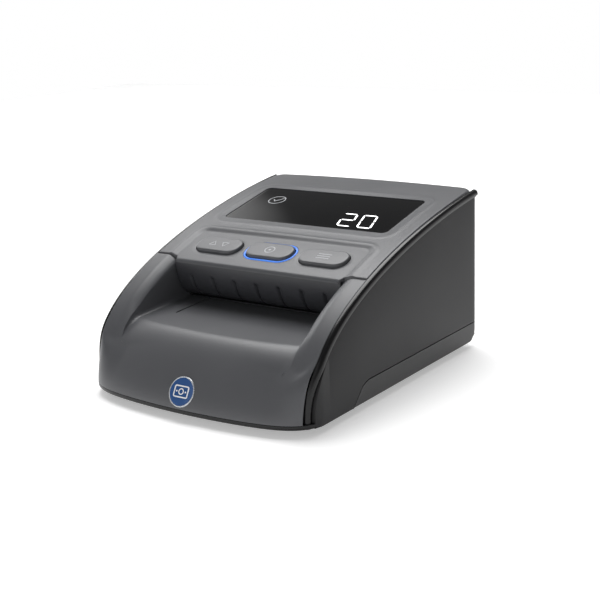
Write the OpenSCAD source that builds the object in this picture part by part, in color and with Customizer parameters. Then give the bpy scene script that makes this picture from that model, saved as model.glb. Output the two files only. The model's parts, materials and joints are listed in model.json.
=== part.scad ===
// Countertop banknote checker: a wedge housing with a feed tray at the front,
// a hinged top unit that carries the keys and the display, and a geared roller
// drive that pulls a note along a flat path to an exit at the rear.
// Axes: +X right, +Y to the rear, +Z up. Origin: middle of the footprint, on the table.

/* [Overall] */
// Width over the side walls
body_w = 128; // [112:1:156]
// Length from the nose to the rear face
body_l = 167; // [150:1:202]
// Height from the table to the top of the cover
body_h = 83; // [76:1:102]
// Height of the rubber feet, from the table to the base
foot_z = 3; // [2:0.5:5]
// Wall of the mouldings
wall = 2.4; // [1.8:0.1:3]
// Running gap between the top unit and the housing
seam_gap = 0.4; // [0.3:0.05:0.6]

/* [Side profile] */
// How far the side profile stops short of the nose
nose_lead = 12.3; // [8:0.1:16]
// Shape of the profile near the rear, larger is flatter
crown_power = 1.27; // [1.1:0.01:1.6]
// Shape of the profile near the nose, smaller is blunter
nose_power = 0.375; // [0.3:0.005:0.5]
// Drop of the cover from its middle to its edges
crown_drop = 1; // [0:0.1:3]
// How far the nose bows forward in plan
nose_bow = 7; // [3:0.5:10]
// Depth of the rounded nose corners in plan
nose_corner = 14; // [8:0.5:18]
// Radius of the rear corners in plan
rear_r = 7; // [4:0.5:10]
// Radius of the rear bottom edge
heel_r = 14; // [8:0.5:16]
// Width of the dark trim band
trim_w = 2.3; // [1.8:0.1:3]
// Depth of the dark trim band
trim_d = 4.2; // [3:0.1:6]
// Height of the seam between the housing and the base, over the base
seam_rise = 10; // [8:0.5:12]

/* [Feed path] */
// Clear width of the feed tray
clear_w = 98; // [90:1:104]
// Height of the flat note path
path_z = 36; // [34:0.5:40]
// Gap between the lower and upper note guides
path_gap = 1.2; // [0.8:0.1:2]
// Height of the apron in front of the tray
apron_h = 18; // [14:0.5:20]
// How far the apron leans back
apron_lean = 8.5; // [5:0.5:11]
// Y of the line where the tray meets the upper guide
throat_y = -14; // [-18:0.5:-10]
// Y of the seam between the top cover and the front bezel
split_y = -21.5; // [-24:0.5:-19]
// How far the key lip overhangs that seam
lip = 3; // [1:0.5:4]
// Height of the slot where notes leave at the rear
exit_h = 6.5; // [6:0.5:9]

/* [Display and keys] */
// Width of the display pane
pane_w = 97; // [80:1:100]
// Length of the display pane along the slope
pane_l = 41; // [34:1:44]
// Thickness of the display pane
pane_t = 2; // [1.5:0.1:2.5]
// Y of the middle of the display pane
pane_y = 36; // [34:1:40]
// Length of each key, across the body
key_w = 26; // [20:0.5:27]
// Width of each key, along the slope
key_l = 12.6; // [10:0.2:13]
// Spacing of the keys
key_pitch = 31; // [30:0.5:33]
// Y of the row of keys
key_y = -10.4; // [-11:0.1:-9]
// Gap round each key
key_gap = 0.35; // [0.3:0.05:0.5]
// Travel of each key
key_travel = 0.8; // [0.5:0.1:1]
// Height that each key stands proud
key_proud = 0.9; // [0.5:0.1:1.5]

/* [Roller drive] */
// Y of the front drive shaft
front_shaft_y = -2; // [-3:0.5:0]
// Radius of the drive rollers
drive_r = 7; // [6:0.5:7.5]
// Radius of the drive shafts
shaft_r = 2.5; // [2:0.1:3]
// Radius of the pressure rollers
press_r = 6; // [5:0.5:6.5]
// Radius of the pressure roller shafts
press_shaft_r = 2; // [1.5:0.1:2.2]
// Gap between a drive roller and its pressure roller
nip = 0.3; // [0.25:0.05:0.5]
// Width of each roller
roller_w = 12; // [8:1:16]
// Spacing of the rollers along a shaft
roller_pitch = 31; // [26:1:34]
// Radial running gap of shafts in their bushes
run_gap = 0.05; // [0.02:0.01:0.1]
// Pitch radius of the four equal train gears
gear_pr = 9; // [8.5:0.1:9.4]
// Teeth on each train gear
gear_teeth = 18; // [12:2:24]
// Teeth on the motor pinion
pinion_teeth = 8; // [6:2:10]
// Width of the gears
gear_w = 4; // [3:0.5:5]
// Radius of the drive motor
motor_r = 9.5; // [8:0.5:10]
// Length of the drive motor
motor_l = 27; // [20:1:30]

/* [Hinge and latch] */
// Radius of the hinge barrel
barrel_r = 2.5; // [2.2:0.1:3]
// Radius of the hinge pins
pin_r = 1; // [0.8:0.1:1.2]
// Height of the hinge axis below the top of the body
hinge_drop = 22; // [19:0.5:26]
// X of the middle of each hinge station
hinge_x = 38; // [30:1:42]
// Travel of the release button
latch_travel = 2.5; // [2:0.1:3]

/* [Battery and boards] */
// Width of the battery pack
cell_w = 44; // [36:1:48]
// Length of the battery pack
cell_l = 46; // [40:1:50]
// Height of the battery pack
cell_h = 11; // [8:0.5:12]
// Thickness of the circuit boards
board_t = 1.6; // [1:0.2:2]
// Radius of each rubber foot
foot_r = 5.5; // [4:0.5:5.5]

/* [Hidden] */
$fn = 48;
half_w = body_w / 2;
rear_y = body_l / 2;
nose_y = -body_l / 2;
edge_h = body_h - crown_drop;
profile_l = body_l - nose_lead;
base_z = foot_z + wall;
seam_z = foot_z + seam_rise;
chin_z = base_z + 0.1;
inner_w = half_w - trim_w - seam_gap / 2;
cover_hw = inner_w - seam_gap / 2;
guide_hw = clear_w / 2 - 0.3;
plate_x = clear_w / 2 + 0.8;
plate_t = 2;
gear_x = -(plate_x + plate_t + 0.8);
module_m = 2 * gear_pr / gear_teeth;
pinion_pr = module_m * pinion_teeth / 2;
shaft_z = path_z - drive_r;
rear_shaft_y = front_shaft_y + 6 * gear_pr;
press_z = path_z + press_r + nip;
upper_z = path_z + path_gap;
motor_z = shaft_z - gear_pr - pinion_pr;
hinge_y = rear_y - barrel_r - 0.1;
hinge_z = body_h - hinge_drop;
apron_z = foot_z + apron_h;
tray_front_y = nose_y + apron_lean + 3;
tray_front_z = apron_z - 0.5;
brow_y = tray_front_y + 14;
tray_fall = 0.045;
skirt = 11;
key_switch_gap = key_travel + 0.4;
key_depth = wall + 3.2;
cell_x = 23;
cell_y = 33;
door_t = 1.8;
latch_y = 8;
slit_x = 35.4;
slit_w = 1.2;
slit_l = 23;
// half length of the moving knuckles, and the gap beside them
knuckle_hl = 7;
knuckle_gap = 0.3;
knuckle_outer = 8;
seam_x = half_w - trim_w;

// Height of the side profile at y: a blunt power curve from the rear to the nose.
function rise(y) =
    let (u = max(0, min(1, (rear_y - y) / profile_l)))
    foot_z + (edge_h - foot_z) * pow(1 - pow(u, crown_power), nose_power);

// Height of the cover's middle line at y: the profile plus a crown that grows to the rear.
function crest(y) = rise(y) + crown_drop * max(0, min(1, (y - split_y) / (rear_y - split_y)));

// Slope of the side profile at y, in degrees.
function tilt(y) = atan(crest(y + 0.5) - crest(y - 0.5));

// Y values that crowd together towards the nose, where the curve is steep.
function profile_y(t) = rear_y - profile_l * (1 - pow(1 - t, 2.2));

// Points of the cover's middle line from y0 (rear) to y1 (front), lowered by drop.
function crest_pts(y0, y1, drop) = [for (p = profile_pts(y0, y1, 0)) [p[0], crest(p[0]) - drop]];

// Points of the side profile from y0 (rear) to y1 (front), lowered by drop.
function profile_pts(y0, y1, drop, n = 26) =
    let (t0 = 1 - pow(1 - (rear_y - y0) / profile_l, 1 / 2.2),
         t1 = 1 - pow(max(0, 1 - (rear_y - y1) / profile_l), 1 / 2.2))
    [for (i = [0 : n])
        let (y = profile_y(t0 + (t1 - t0) * i / n))
        [y, max(foot_z, rise(y) - drop)]];

function backwards(v) = [for (i = [len(v) - 1 : -1 : 0]) v[i]];

// Front edge of the plan outline at x, pulled back by inset.
function nose_at(x, inset = 0) =
    let (s = min(1, abs(x) / (half_w - inset)))
    nose_y + inset + nose_bow * s * s + nose_corner * (1 - pow(1 - pow(s, 8), 0.5));

// Top of the tray floor at y: nearly level behind the brow, then a curve down to the apron.
function tray_z(y) =
    let (t = max(0, (brow_y - y) / (brow_y - tray_front_y)))
    path_z - 0.2 - tray_fall * (throat_y - max(y, brow_y)) - (brow_z() - tray_front_z) * pow(t, 1.6);

// Height of the tray at its brow, where the level part ends.
function brow_z() = path_z - 0.2 - tray_fall * (throat_y - brow_y);

// A profile in the Y-Z plane drawn out along X from x0 to x1.
module along_x(x0, x1) {
    translate([x0, 0, 0]) rotate([90, 0, 90]) linear_extrude(x1 - x0) children();
}

// A straight bar of radius r along X from x0 to x1 at height z and depth y.
module rod_x(x0, x1, y, z, r) {
    translate([x0, y, z]) rotate([0, 90, 0]) cylinder(h = x1 - x0, r = r);
}

// Block from one corner to the other.
module span(a, b) {
    translate(a) cube([b[0] - a[0], b[1] - a[1], b[2] - a[2]]);
}

// Puts its children on the cover at y: local Z is the surface normal.
module on_cover(x, y, depth = 0) {
    translate([x, y, crest(y)]) rotate([tilt(y), 0, 0]) translate([0, 0, -depth]) children();
}

// Rectangle with round corners, centred.
module round_rect(w, l, r) {
    square([w - 2 * r, l], center = true);
    square([w, l - 2 * r], center = true);
    for (sx = [-1, 1], sy = [-1, 1])
        translate([sx * (w / 2 - r), sy * (l / 2 - r)]) circle(r);
}

// Plan outline of the body, pulled in by inset.
module plan(inset) {
    xs = [for (i = [-24 : 24]) sin(i * 90 / 24) * (half_w - inset)];
    polygon(concat([for (x = xs) [x, nose_at(x, inset)]],
        [[half_w - inset, rear_y - rear_r], [-half_w + inset, rear_y - rear_r]]));
    translate([0, (rear_y - rear_r) / 2])
        square([2 * (half_w - rear_r), rear_y - rear_r], center = true);
    translate([-half_w + rear_r, rear_y - rear_r - 1])
        square([2 * (half_w - rear_r), 1 + rear_r - inset]);
    for (s = [-1, 1])
        translate([s * (half_w - rear_r), rear_y - rear_r]) circle(rear_r - inset);
}

// Side view below the profile, lowered by drop, from y0 (rear) to y1 (front).
module below_profile(y0, y1, drop, floor_z) {
    polygon(concat(profile_pts(y0, y1, drop), [[y1, floor_z], [y0, floor_z]]));
}

// Side view of the region that the housing keeps over the base seam.
module above_seam(gap) {
    polygon([[rear_y + 1, seam_z + gap], [-26, seam_z + gap], [-31.2, seam_z - 1.5 + gap],
        [seam_foot_y() - 0.2, foot_z], [seam_foot_y() - 0.2, foot_z - 1], [nose_y - 1, foot_z - 1],
        [nose_y - 1, body_h + 1], [rear_y + 1, body_h + 1]]);
}

// Y where the seam comes down to the underside.
function seam_foot_y() = -31 - (seam_rise - 1.5);

// Side view of the base under the seam, with its round heel.
module under_seam() {
    difference() {
        polygon([[rear_y, foot_z], [rear_y, seam_z - 0.15], [-26, seam_z - 0.15],
            [-30.8, seam_z - 1.65], [seam_foot_y() + 0.2, foot_z]]);
        difference() {
            translate([rear_y - heel_r, foot_z - 1]) square([heel_r + 1, heel_r + 1]);
            translate([rear_y - heel_r, foot_z + heel_r]) circle(heel_r);
        }
    }
}

// ---- Housing ----

// Side walls and rear wall in one moulding, with the fixed hinge knuckles.
module main_housing() {
    slot_hw = clear_w / 2;
    room = knuckle_hl + knuckle_gap;
    color([0.24, 0.24, 0.25]) difference() {
        union() {
            intersection() {
                translate([0, 0, foot_z]) linear_extrude(body_h) difference() {
                    plan(0);
                    plan(trim_w);
                    translate([-half_w + trim_w, nose_y - 1]) square([2 * seam_x, body_l - rear_r]);
                }
                along_x(-half_w, half_w) intersection() {
                    below_profile(rear_y, nose_y + nose_lead, trim_d + 0.2, foot_z);
                    above_seam(0.15);
                }
            }
            hinge_barrel(fixed_knuckles());
            for (p = rear_screws()) screw_tab(p, half_w - trim_w / 2);
        }
        for (p = rear_screws()) translate([p[0], p[1], base_z]) cylinder(h = seam_rise + 4, r = 1.1);
        // upper middle of the rear wall, where the cover comes down
        span([-seam_x, rear_y - 3 * wall, hinge_z + 0.01], [seam_x, hinge_y - barrel_r - 0.2, body_h]);
        difference() {
            span([-seam_x, hinge_y - barrel_r - 0.3, hinge_z + 0.01], [seam_x, rear_y + 1, body_h]);
            hinge_barrel(fixed_knuckles());
        }
        // room for the moving knuckles
        for (s = [-1, 1])
            rod_x(s * hinge_x - room, s * hinge_x + room, hinge_y, hinge_z, barrel_r + 0.4);
        for (s = [-1, 1])
            span([s * hinge_x - room, hinge_y - 4, hinge_z - barrel_r - 0.4],
                [s * hinge_x + room, rear_y + 1, hinge_z + 5]);
        rod_x(-hinge_x - 13, hinge_x + 13, hinge_y, hinge_z, pin_r);
        // note exit, inlet, card slot and release button holes
        span([-slot_hw, rear_y - 4 * wall, path_z - 2], [slot_hw, rear_y + 1, path_z - 2 + exit_h + 2]);
        translate([inlet_x(), rear_y + 1, inlet_z()]) rotate([90, 0, 0]) cylinder(h = 4 * wall, r = inlet_r() + 0.2);
        span([card_x() - 7.2, rear_y - 4 * wall, inlet_z() - 1.7], [card_x() + 7.2, rear_y + 1, inlet_z() + 1.7]);
        span([-half_w - 1, latch_y - 5.4, latch_z() - 3.4], [-half_w + 2 * trim_w, latch_y + 5.4, latch_z() + 3.4]);
    }
}

// X ranges of the three fixed knuckles, one between and one outside each moving pair.
function fixed_knuckles() =
    let (near = hinge_x - knuckle_hl - knuckle_gap, far = hinge_x + knuckle_hl + knuckle_gap)
    [[-far - knuckle_outer, -far], [-near, near], [far, far + knuckle_outer]];

// Hinge barrel stretches between pairs of x values.
module hinge_barrel(xs) {
    for (x = xs) rod_x(x[0], x[1], hinge_y, hinge_z, barrel_r);
}

function inlet_x() = 40;
function inlet_z() = 24;
function inlet_r() = 4.4;
function card_x() = 20;
function latch_z() = path_z + 9;

// Underside moulding: floor, low side walls, battery bay and screw bosses.
module base_tray() {
    color([0.20, 0.20, 0.21]) difference() {
        union() {
            difference() {
                intersection() {
                    translate([0, 0, foot_z]) linear_extrude(seam_rise - 0.15) plan(0);
                    along_x(-half_w, half_w) under_seam();
                }
                intersection() {
                    translate([0, 0, base_z]) linear_extrude(seam_rise + 4) plan(wall);
                    along_x(-half_w + wall, half_w - wall) translate([-wall, wall]) under_seam();
                }
                span([-half_w + wall, -50, base_z], [half_w - wall, rear_y - heel_r, seam_z + 1]);
            }
            // front part of the floor, inside the housing walls
            intersection() {
                translate([0, 0, foot_z]) linear_extrude(wall) plan(trim_w + 0.3);
                span([-half_w, nose_y, 0], [half_w, 0, seam_z]);
            }
            bay_walls();
            for (p = screw_spots()) translate([p[0], p[1], foot_z]) cylinder(h = seam_rise + 0.1, r = 3.4);
        }
        // battery bay mouth and door rebate
        span([cell_x - cell_w / 2 - 0.6, cell_y - cell_l / 2 - 0.6, foot_z - 1],
            [cell_x + cell_w / 2 + 0.6, cell_y + cell_l / 2 + 0.6, base_z + 0.01]);
        span([cell_x - cell_w / 2 - 2.3, cell_y - cell_l / 2 - 2.3, foot_z - 1],
            [cell_x + cell_w / 2 + 2.3, cell_y + cell_l / 2 + 2.3, foot_z + door_t + 0.1]);
        for (p = screw_spots()) {
            translate([p[0], p[1], foot_z - 1]) cylinder(h = seam_rise + 4, r = 1.2);
            translate([p[0], p[1], foot_z - 1]) cylinder(h = 2.6, r = 2.8);
        }
        for (p = foot_spots()) translate([p[0], p[1], foot_z - 1]) cylinder(h = 2, r = foot_r + 0.1);
    }
}

function front_screws() = [for (s = [-1, 1]) [s * (half_w - 21), nose_y + 33.5]];
function rear_screws() = [for (s = [-1, 1]) [s * (half_w - 30), rear_y - 20]];
function screw_spots() = concat(front_screws(), rear_screws());
function foot_spots() = [for (s = [-1, 1], y = [nose_y + 25.5, rear_y - 19]) [s * (half_w - 15), y]];

// Ledge over the screw at p, reaching out to the side wall at x = reach.
module screw_tab(p, reach) {
    span([p[0] > 0 ? p[0] - 3.4 : -reach, p[1] - 3.4, seam_z + 0.2],
        [p[0] > 0 ? reach : p[0] + 3.4, p[1] + 3.4, seam_z + 0.2 + wall]);
}

// Low walls round the battery, standing on the base floor.
module bay_walls() {
    x0 = cell_x - cell_w / 2 - 0.6;
    x1 = cell_x + cell_w / 2 + 0.6;
    y0 = cell_y - cell_l / 2 - 0.6;
    y1 = cell_y + cell_l / 2 + 0.6;
    difference() {
        span([x0 - 1.4, y0 - 1.4, foot_z], [x1 + 1.4, y1 + 1.4, base_z + cell_h + 1.8]);
        span([x0, y0, foot_z - 1], [x1, y1, base_z + cell_h + 0.4]);
    }
}

// Dark band along both side edges and under the nose.
module edge_trim() {
    color([0.11, 0.11, 0.115]) {
        for (s = [-1, 1]) intersection() {
            along_x(s > 0 ? half_w - trim_w : -half_w, s > 0 ? half_w : -half_w + trim_w)
                difference() {
                    polygon(concat(profile_pts(rear_y, nose_y + nose_lead, 1.2), [[rear_y, foot_z]]));
                    polygon(concat([[rear_y + 1, edge_h - trim_d]], profile_pts(rear_y, nose_y + nose_lead, trim_d),
                        [[nose_y + nose_lead, foot_z - 1], [rear_y + 1, foot_z - 1]]));
                }
            translate([0, 0, foot_z]) linear_extrude(body_h) plan(0);
        }
        intersection() {
            translate([0, 0, foot_z]) linear_extrude(wall) difference() {
                plan(0);
                plan(trim_w);
            }
            span([-half_w + trim_w, nose_y - 1, 0], [half_w - trim_w, nose_y + nose_bow + nose_corner - 3, 20]);
        }
    }
}

// ---- Front ----

// Side view of the apron: a curved face that leans back to the tray.
function apron_pts(inset) = [for (i = [0 : 8]) let (t = i / 8)
    [nose_y + inset + apron_lean * pow(t, 1.5), chin_z + (apron_z - inset - chin_z) * t]];

// Grey front moulding: two pillars beside the tray and the apron before it.
module front_bezel() {
    inner = clear_w / 2 + 0.1;
    color([0.40, 0.40, 0.42]) {
        for (p = front_screws()) difference() {
            screw_tab(p, inner_w - wall);
            translate([p[0], p[1], 0]) cylinder(h = body_h, r = 1.1);
        }
        difference() {
            bezel_block(0);
            difference() {
                bezel_block(wall);
                for (s = [-1, 1])
                    span([s > 0 ? inner - 0.05 : -inner - wall, tray_front_y - wall, 0],
                        [s > 0 ? inner + wall : -inner + 0.05, split_y, body_h]);
            }
            // the tray opening
            along_x(-inner, inner) polygon([[tray_front_y, apron_z - 4], [tray_front_y, body_h],
                [split_y + 5, body_h], [split_y + 5, 0], [tray_front_y + 12, 0], [tray_front_y + 12, apron_z - 4]]);
            along_x(-inner, inner) polygon([[nose_y + apron_lean + 1, apron_z], [nose_y - 1, apron_z],
                [nose_y - 1, body_h], [tray_front_y + 1, body_h], [tray_front_y + 1, apron_z - 1]]);
            badge_seat();
        }
    }
}

// Solid that the bezel is hollowed from, pulled in by inset.
module bezel_block(inset) {
    intersection() {
        translate([0, 0, chin_z - 2 * inset]) linear_extrude(body_h) intersection() {
            plan(inset);
            translate([-inner_w + seam_gap / 2 + inset, nose_y - 1])
                square([2 * inner_w - seam_gap - 2 * inset, split_y - nose_y + 1 - seam_gap]);
        }
        union() {
            along_x(-half_w, half_w) polygon(concat([[split_y, foot_z - inset]],
                profile_pts(split_y, nose_y + nose_lead, 0.2 + inset)));
            along_x(-half_w, half_w) polygon(concat(apron_pts(inset), [[split_y, apron_z - inset],
                [split_y, foot_z - inset], [nose_y + inset, foot_z - inset]]));
        }
    }
}

// Places its children on the apron face, local Z pointing out of it.
module on_apron(z) {
    t = (z - chin_z) / (apron_z - chin_z);
    lean = atan(apron_lean * 1.5 * pow(t, 0.5) / (apron_z - chin_z));
    translate([0, nose_y + apron_lean * pow(t, 1.5), z]) rotate([90 - lean, 0, 0]) children();
}

// Round seat for the badge in the apron.
module badge_seat() {
    on_apron(foot_z + 10) translate([0, 0, -1]) cylinder(h = 4, r = badge_r() + 0.2);
}

function badge_r() = 7;

// Plain blue domed disc.
module badge_disc() {
    dome_r = 26;
    color([0.15, 0.35, 0.68]) on_apron(foot_z + 10) translate([0, 0, -0.9]) rotate_extrude() intersection() {
        square([badge_r() - 0.85, 1.6]);
        translate([0, 1.6 - dome_r]) circle(dome_r, $fn = 180);
    }
}

// Pale ring round the disc.
module badge_ring() {
    color([0.80, 0.81, 0.83]) on_apron(foot_z + 10) translate([0, 0, -0.9]) difference() {
        cylinder(h = 1.4, r = badge_r());
        translate([0, 0, -1]) cylinder(h = 4, r = badge_r() - 0.8);
    }
}

// Floor that carries a note from the apron over the brow to the throat.
module feed_tray() {
    hw = clear_w / 2;
    top = concat([for (i = [0 : 8]) let (y = tray_front_y + 0.15 + (brow_y - tray_front_y - 0.15) * i / 8) [y, tray_z(y)]],
        [[throat_y - 0.2, tray_z(throat_y)]]);
    color([0.30, 0.30, 0.32]) difference() {
        along_x(-hw, hw) polygon(concat(top, [for (p = backwards(top)) [p[0], p[1] - wall]]));
        span([-slit_x - slit_w, throat_y - slit_l - 3, 0], [-slit_x, throat_y - 3, body_h]);
    }
}

// Flat lower guide inside, with windows for the rollers and the sensor pane.
module lower_guide() {
    hw = clear_w / 2 - 0.3;
    color([0.17, 0.17, 0.18]) difference() {
        span([-hw, throat_y, path_z - wall], [hw, rear_y - wall - 1.2, path_z]);
        for (y = [front_shaft_y, rear_shaft_y], i = [-1 : 1])
            roller_window(i * roller_pitch, y, path_z - wall - 1);
        span([-guide_hw + 6, pane_slot_y() - 8.2, path_z - 1.2], [guide_hw - 6, pane_slot_y() + 8.2, path_z + 1]);
        span([-guide_hw + 8, pane_slot_y() - 6.5, path_z - wall - 1], [guide_hw - 8, pane_slot_y() + 6.5, path_z + 1]);
    }
}

function pane_slot_y() = front_shaft_y + 3 * gear_pr;

// Clear hole for one roller, through a guide plate.
module roller_window(x, y, z) {
    span([x - roller_w / 2 - 0.8, y - drive_r - 0.8, z], [x + roller_w / 2 + 0.8, y + drive_r + 0.8, z + 6]);
}

// Clear pane over the lower light sensors.
module lower_sensor_window() {
    color([0.55, 0.65, 0.75]) span([-guide_hw + 6.2, pane_slot_y() - 8, path_z - 1.2], [guide_hw - 6.2, pane_slot_y() + 8, path_z - 0.05]);
}

// Circuit board with the light sources under the lower pane.
module lower_sensor_board() {
    color([0.10, 0.35, 0.20]) {
        span([-guide_hw + 4, pane_slot_y() - 10, path_z - wall - 5], [guide_hw - 4, pane_slot_y() + 10, path_z - wall - 5 + board_t]);
        for (i = [-4 : 4])
            translate([i * 9, pane_slot_y(), path_z - wall - 5 + board_t]) cylinder(h = 2, r = 1.5);
    }
}

// ---- Fasteners and feet ----

// Four rubber feet in recesses of the base.
module rubber_feet() {
    color([0.07, 0.07, 0.07]) for (p = foot_spots())
        translate([p[0], p[1], 0]) cylinder(h = foot_z + 1, r = foot_r);
}

// Four screws that hold the base to the housing.
module case_screws() {
    color([0.75, 0.75, 0.77]) for (p = screw_spots()) translate([p[0], p[1], foot_z + 0.4]) difference() {
        union() {
            cylinder(h = 1.2, r = 2.6);
            cylinder(h = seam_rise + 1.6, r = 1.1);
        }
        for (a = [0, 90]) rotate(a) translate([-1.6, -0.3, -0.1]) cube([3.2, 0.6, 0.8]);
    }
}

// ---- Battery ----

// Rechargeable battery pack.
module battery_pack() {
    color([0.12, 0.25, 0.45]) translate([cell_x, cell_y, base_z + 0.1]) linear_extrude(cell_h)
        round_rect(cell_w, cell_l, 2);
}

// Lift-off door under the battery.
module battery_door() {
    color([0.19, 0.19, 0.20]) difference() {
        union() {
            translate([cell_x, cell_y, foot_z]) linear_extrude(door_t)
                square([cell_w + 4, cell_l + 4], center = true);
        }
        for (i = [-2 : 2]) span([cell_x + i * 3 - 0.5, cell_y + cell_l / 2 - 8, foot_z - 1], [cell_x + i * 3 + 0.5, cell_y + cell_l / 2 - 3, foot_z + 0.6]);
    }
}

// ---- Electronics ----

// Main circuit board on the base floor, under the tray.
module main_board() {
    color([0.08, 0.30, 0.18]) difference() {
        span([-board_hw(), -44, base_z + 3], [board_hw(), board_rear(), base_z + 3 + board_t]);
        for (sx = [-1, 1], y = [-40, board_rear() - 4])
            translate([sx * (board_hw() - 4), y, base_z]) cylinder(h = 8, r = 1.5);
    }
}

function board_hw() = half_w - 24;
function board_rear() = front_shaft_y - drive_r - 3;

// Processor, regulator, connectors and capacitors on the main board.
module board_parts() {
    z = base_z + 3 + board_t;
    color([0.13, 0.13, 0.14]) {
        span([-8, -34, z], [6, -20, z + 1.4]);
        span([-26, -36, z], [-18, -30, z + 2.5]);
        span([16, -40, z], [36, -35, z + 5]);
        for (i = [0 : 2]) translate([14 + i * 8, -22, z]) cylinder(h = 7, r = 2.5);
    }
}

// Four pillars that hold the main board.
module board_pillars() {
    color([0.7, 0.7, 0.65]) for (sx = [-1, 1], y = [-40, board_rear() - 4])
        translate([sx * (board_hw() - 4), y, base_z]) {
            cylinder(h = 3, r = 3);
            cylinder(h = 3 + board_t, r = 1.45);
        }
}

// Small board behind the rear sockets.
module io_board() {
    color([0.08, 0.30, 0.18]) span([card_x() - 10, rear_y - 22, inlet_z() - 5.4 - board_t], [inlet_x() + 8, rear_y - wall - 0.6, inlet_z() - 5.4]);
}

// Round power inlet with its centre pin.
module dc_inlet() {
    color([0.05, 0.05, 0.05]) translate([inlet_x(), rear_y - 0.4, inlet_z()]) rotate([90, 0, 0]) {
        difference() {
            union() {
                cylinder(h = 3.4, r = inlet_r());
                translate([-inlet_r() - 0.8, -5.4, 3.4]) cube([2 * inlet_r() + 1.6, 10.8, 10]);
            }
            translate([0, 0, -1]) cylinder(h = 10, r = 2.8);
        }
        translate([0, 0, 0.5]) cylinder(h = 9, r = 1);
    }
}

// Slot for a memory card, used for software updates.
module card_slot() {
    color([0.6, 0.6, 0.62]) difference() {
        span([card_x() - 7, rear_y - 16, inlet_z() - 1.5], [card_x() + 7, rear_y - 0.4, inlet_z() + 1.5]);
        span([card_x() - 5.8, rear_y - 14, inlet_z() - 0.6], [card_x() + 5.8, rear_y + 1, inlet_z() + 0.6]);
    }
    color([0.6, 0.6, 0.62]) span([card_x() - 7, rear_y - 16, inlet_z() - 5.4], [card_x() + 7, rear_y - 8, inlet_z() - 1.5]);
}

// ---- Roller drive ----

// Toothed wheel along X, centred on the origin, with a bore.
module gear(teeth, pr, w, bore, phase) {
    step = 360 / teeth;
    ra = pr + 0.75 * module_m;
    rd = pr - 1.1 * module_m;
    rotate([0, 90, 0]) linear_extrude(w) difference() {
        polygon([for (i = [0 : teeth - 1], k = [[-0.32, rd], [-0.2, pr], [-0.09, ra], [0.09, ra], [0.2, pr], [0.32, rd]])
            let (a = phase + (i + k[0]) * step) [k[1] * cos(a), k[1] * sin(a)]]);
        circle(bore);
    }
}

// One gear of the train, index 0 at the front shaft.
module train_gear(i, bore, phase) {
    translate([gear_x - gear_w, front_shaft_y + 2 * i * gear_pr, shaft_z])
        gear(gear_teeth, gear_pr, gear_w, bore, phase);
}

// Left plate that carries the motor, the idler studs and the shaft bushes.
module gear_chassis() {
    color([0.62, 0.62, 0.64]) difference() {
        span([-plate_x - plate_t, front_shaft_y - 10, base_z + 0.1], [-plate_x, rear_shaft_y + 6, path_z - 1]);
        for (y = [front_shaft_y, rear_shaft_y]) rod_x(-plate_x - plate_t - 1, -plate_x + 1, y, shaft_z, bush_r());
        for (i = [1, 2]) rod_x(-plate_x - plate_t - 1, -plate_x + 1, front_shaft_y + 2 * i * gear_pr, shaft_z, 1.5);
        rod_x(-plate_x - plate_t - 1, -plate_x + 1, front_shaft_y + 2 * gear_pr, motor_z, 3);
    }
}

function bush_r() = shaft_r + 1.5;

// Right plate that carries the other two bushes.
module bearing_plate() {
    color([0.62, 0.62, 0.64]) difference() {
        span([plate_x, front_shaft_y - 10, base_z + 0.1], [plate_x + plate_t, rear_shaft_y + 6, path_z - 1]);
        for (y = [front_shaft_y, rear_shaft_y]) rod_x(plate_x - 1, plate_x + plate_t + 1, y, shaft_z, bush_r());
    }
}

// Four plain bushes that the drive shafts turn in.
module shaft_bushes() {
    color([0.75, 0.58, 0.30]) for (s = [-1, 1], y = [front_shaft_y, rear_shaft_y]) difference() {
        rod_x(s > 0 ? plate_x : -plate_x - plate_t, s > 0 ? plate_x + plate_t : -plate_x, y, shaft_z, bush_r());
        rod_x(s > 0 ? plate_x - 1 : -plate_x - plate_t - 1, s > 0 ? plate_x + plate_t + 1 : -plate_x + 1, y, shaft_z, shaft_r + run_gap);
    }
}

// Two studs that the idler gears turn on.
module idler_studs() {
    color([0.7, 0.7, 0.72]) for (i = [1, 2]) {
        rod_x(gear_x - gear_w - 1, -plate_x, front_shaft_y + 2 * i * gear_pr, shaft_z, 1.5);
        rod_x(gear_x - gear_w - 1.8, gear_x - gear_w - 0.6, front_shaft_y + 2 * i * gear_pr, shaft_z, 2.6);
    }
}

// Drive motor with its flat boss, fixed to the chassis plate.
module drive_motor() {
    color([0.72, 0.73, 0.75]) difference() {
        union() {
            rod_x(-plate_x, -plate_x + motor_l, front_shaft_y + 2 * gear_pr, motor_z, motor_r);
            rod_x(-plate_x + motor_l, -plate_x + motor_l + 2, front_shaft_y + 2 * gear_pr, motor_z, 3.2);
        }
        rod_x(-plate_x - 1, -plate_x + 12, front_shaft_y + 2 * gear_pr, motor_z, 1 + run_gap);
    }
}

// Motor shaft.
module motor_shaft() {
    color([0.8, 0.8, 0.82]) rod_x(gear_x - gear_w - 0.6, -plate_x + 11, front_shaft_y + 2 * gear_pr, motor_z, 1);
}

// Brass pinion on the motor shaft.
module motor_pinion() {
    color([0.80, 0.66, 0.30]) translate([gear_x - gear_w, front_shaft_y + 2 * gear_pr, motor_z])
        gear(pinion_teeth, pinion_pr, gear_w, 1, pinion_phase());
}

// Turn that puts a gap of the pinion against the idler tooth nearest to it.
function pinion_phase() = 180 / pinion_teeth;

// First idler, turned by the pinion.
module idler_gear_a() {
    color([0.88, 0.88, 0.84]) train_gear(1, 1.5 + run_gap, 0);
}

// Second idler.
module idler_gear_b() {
    color([0.88, 0.88, 0.84]) train_gear(2, 1.5 + run_gap, 180 / gear_teeth);
}

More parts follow.
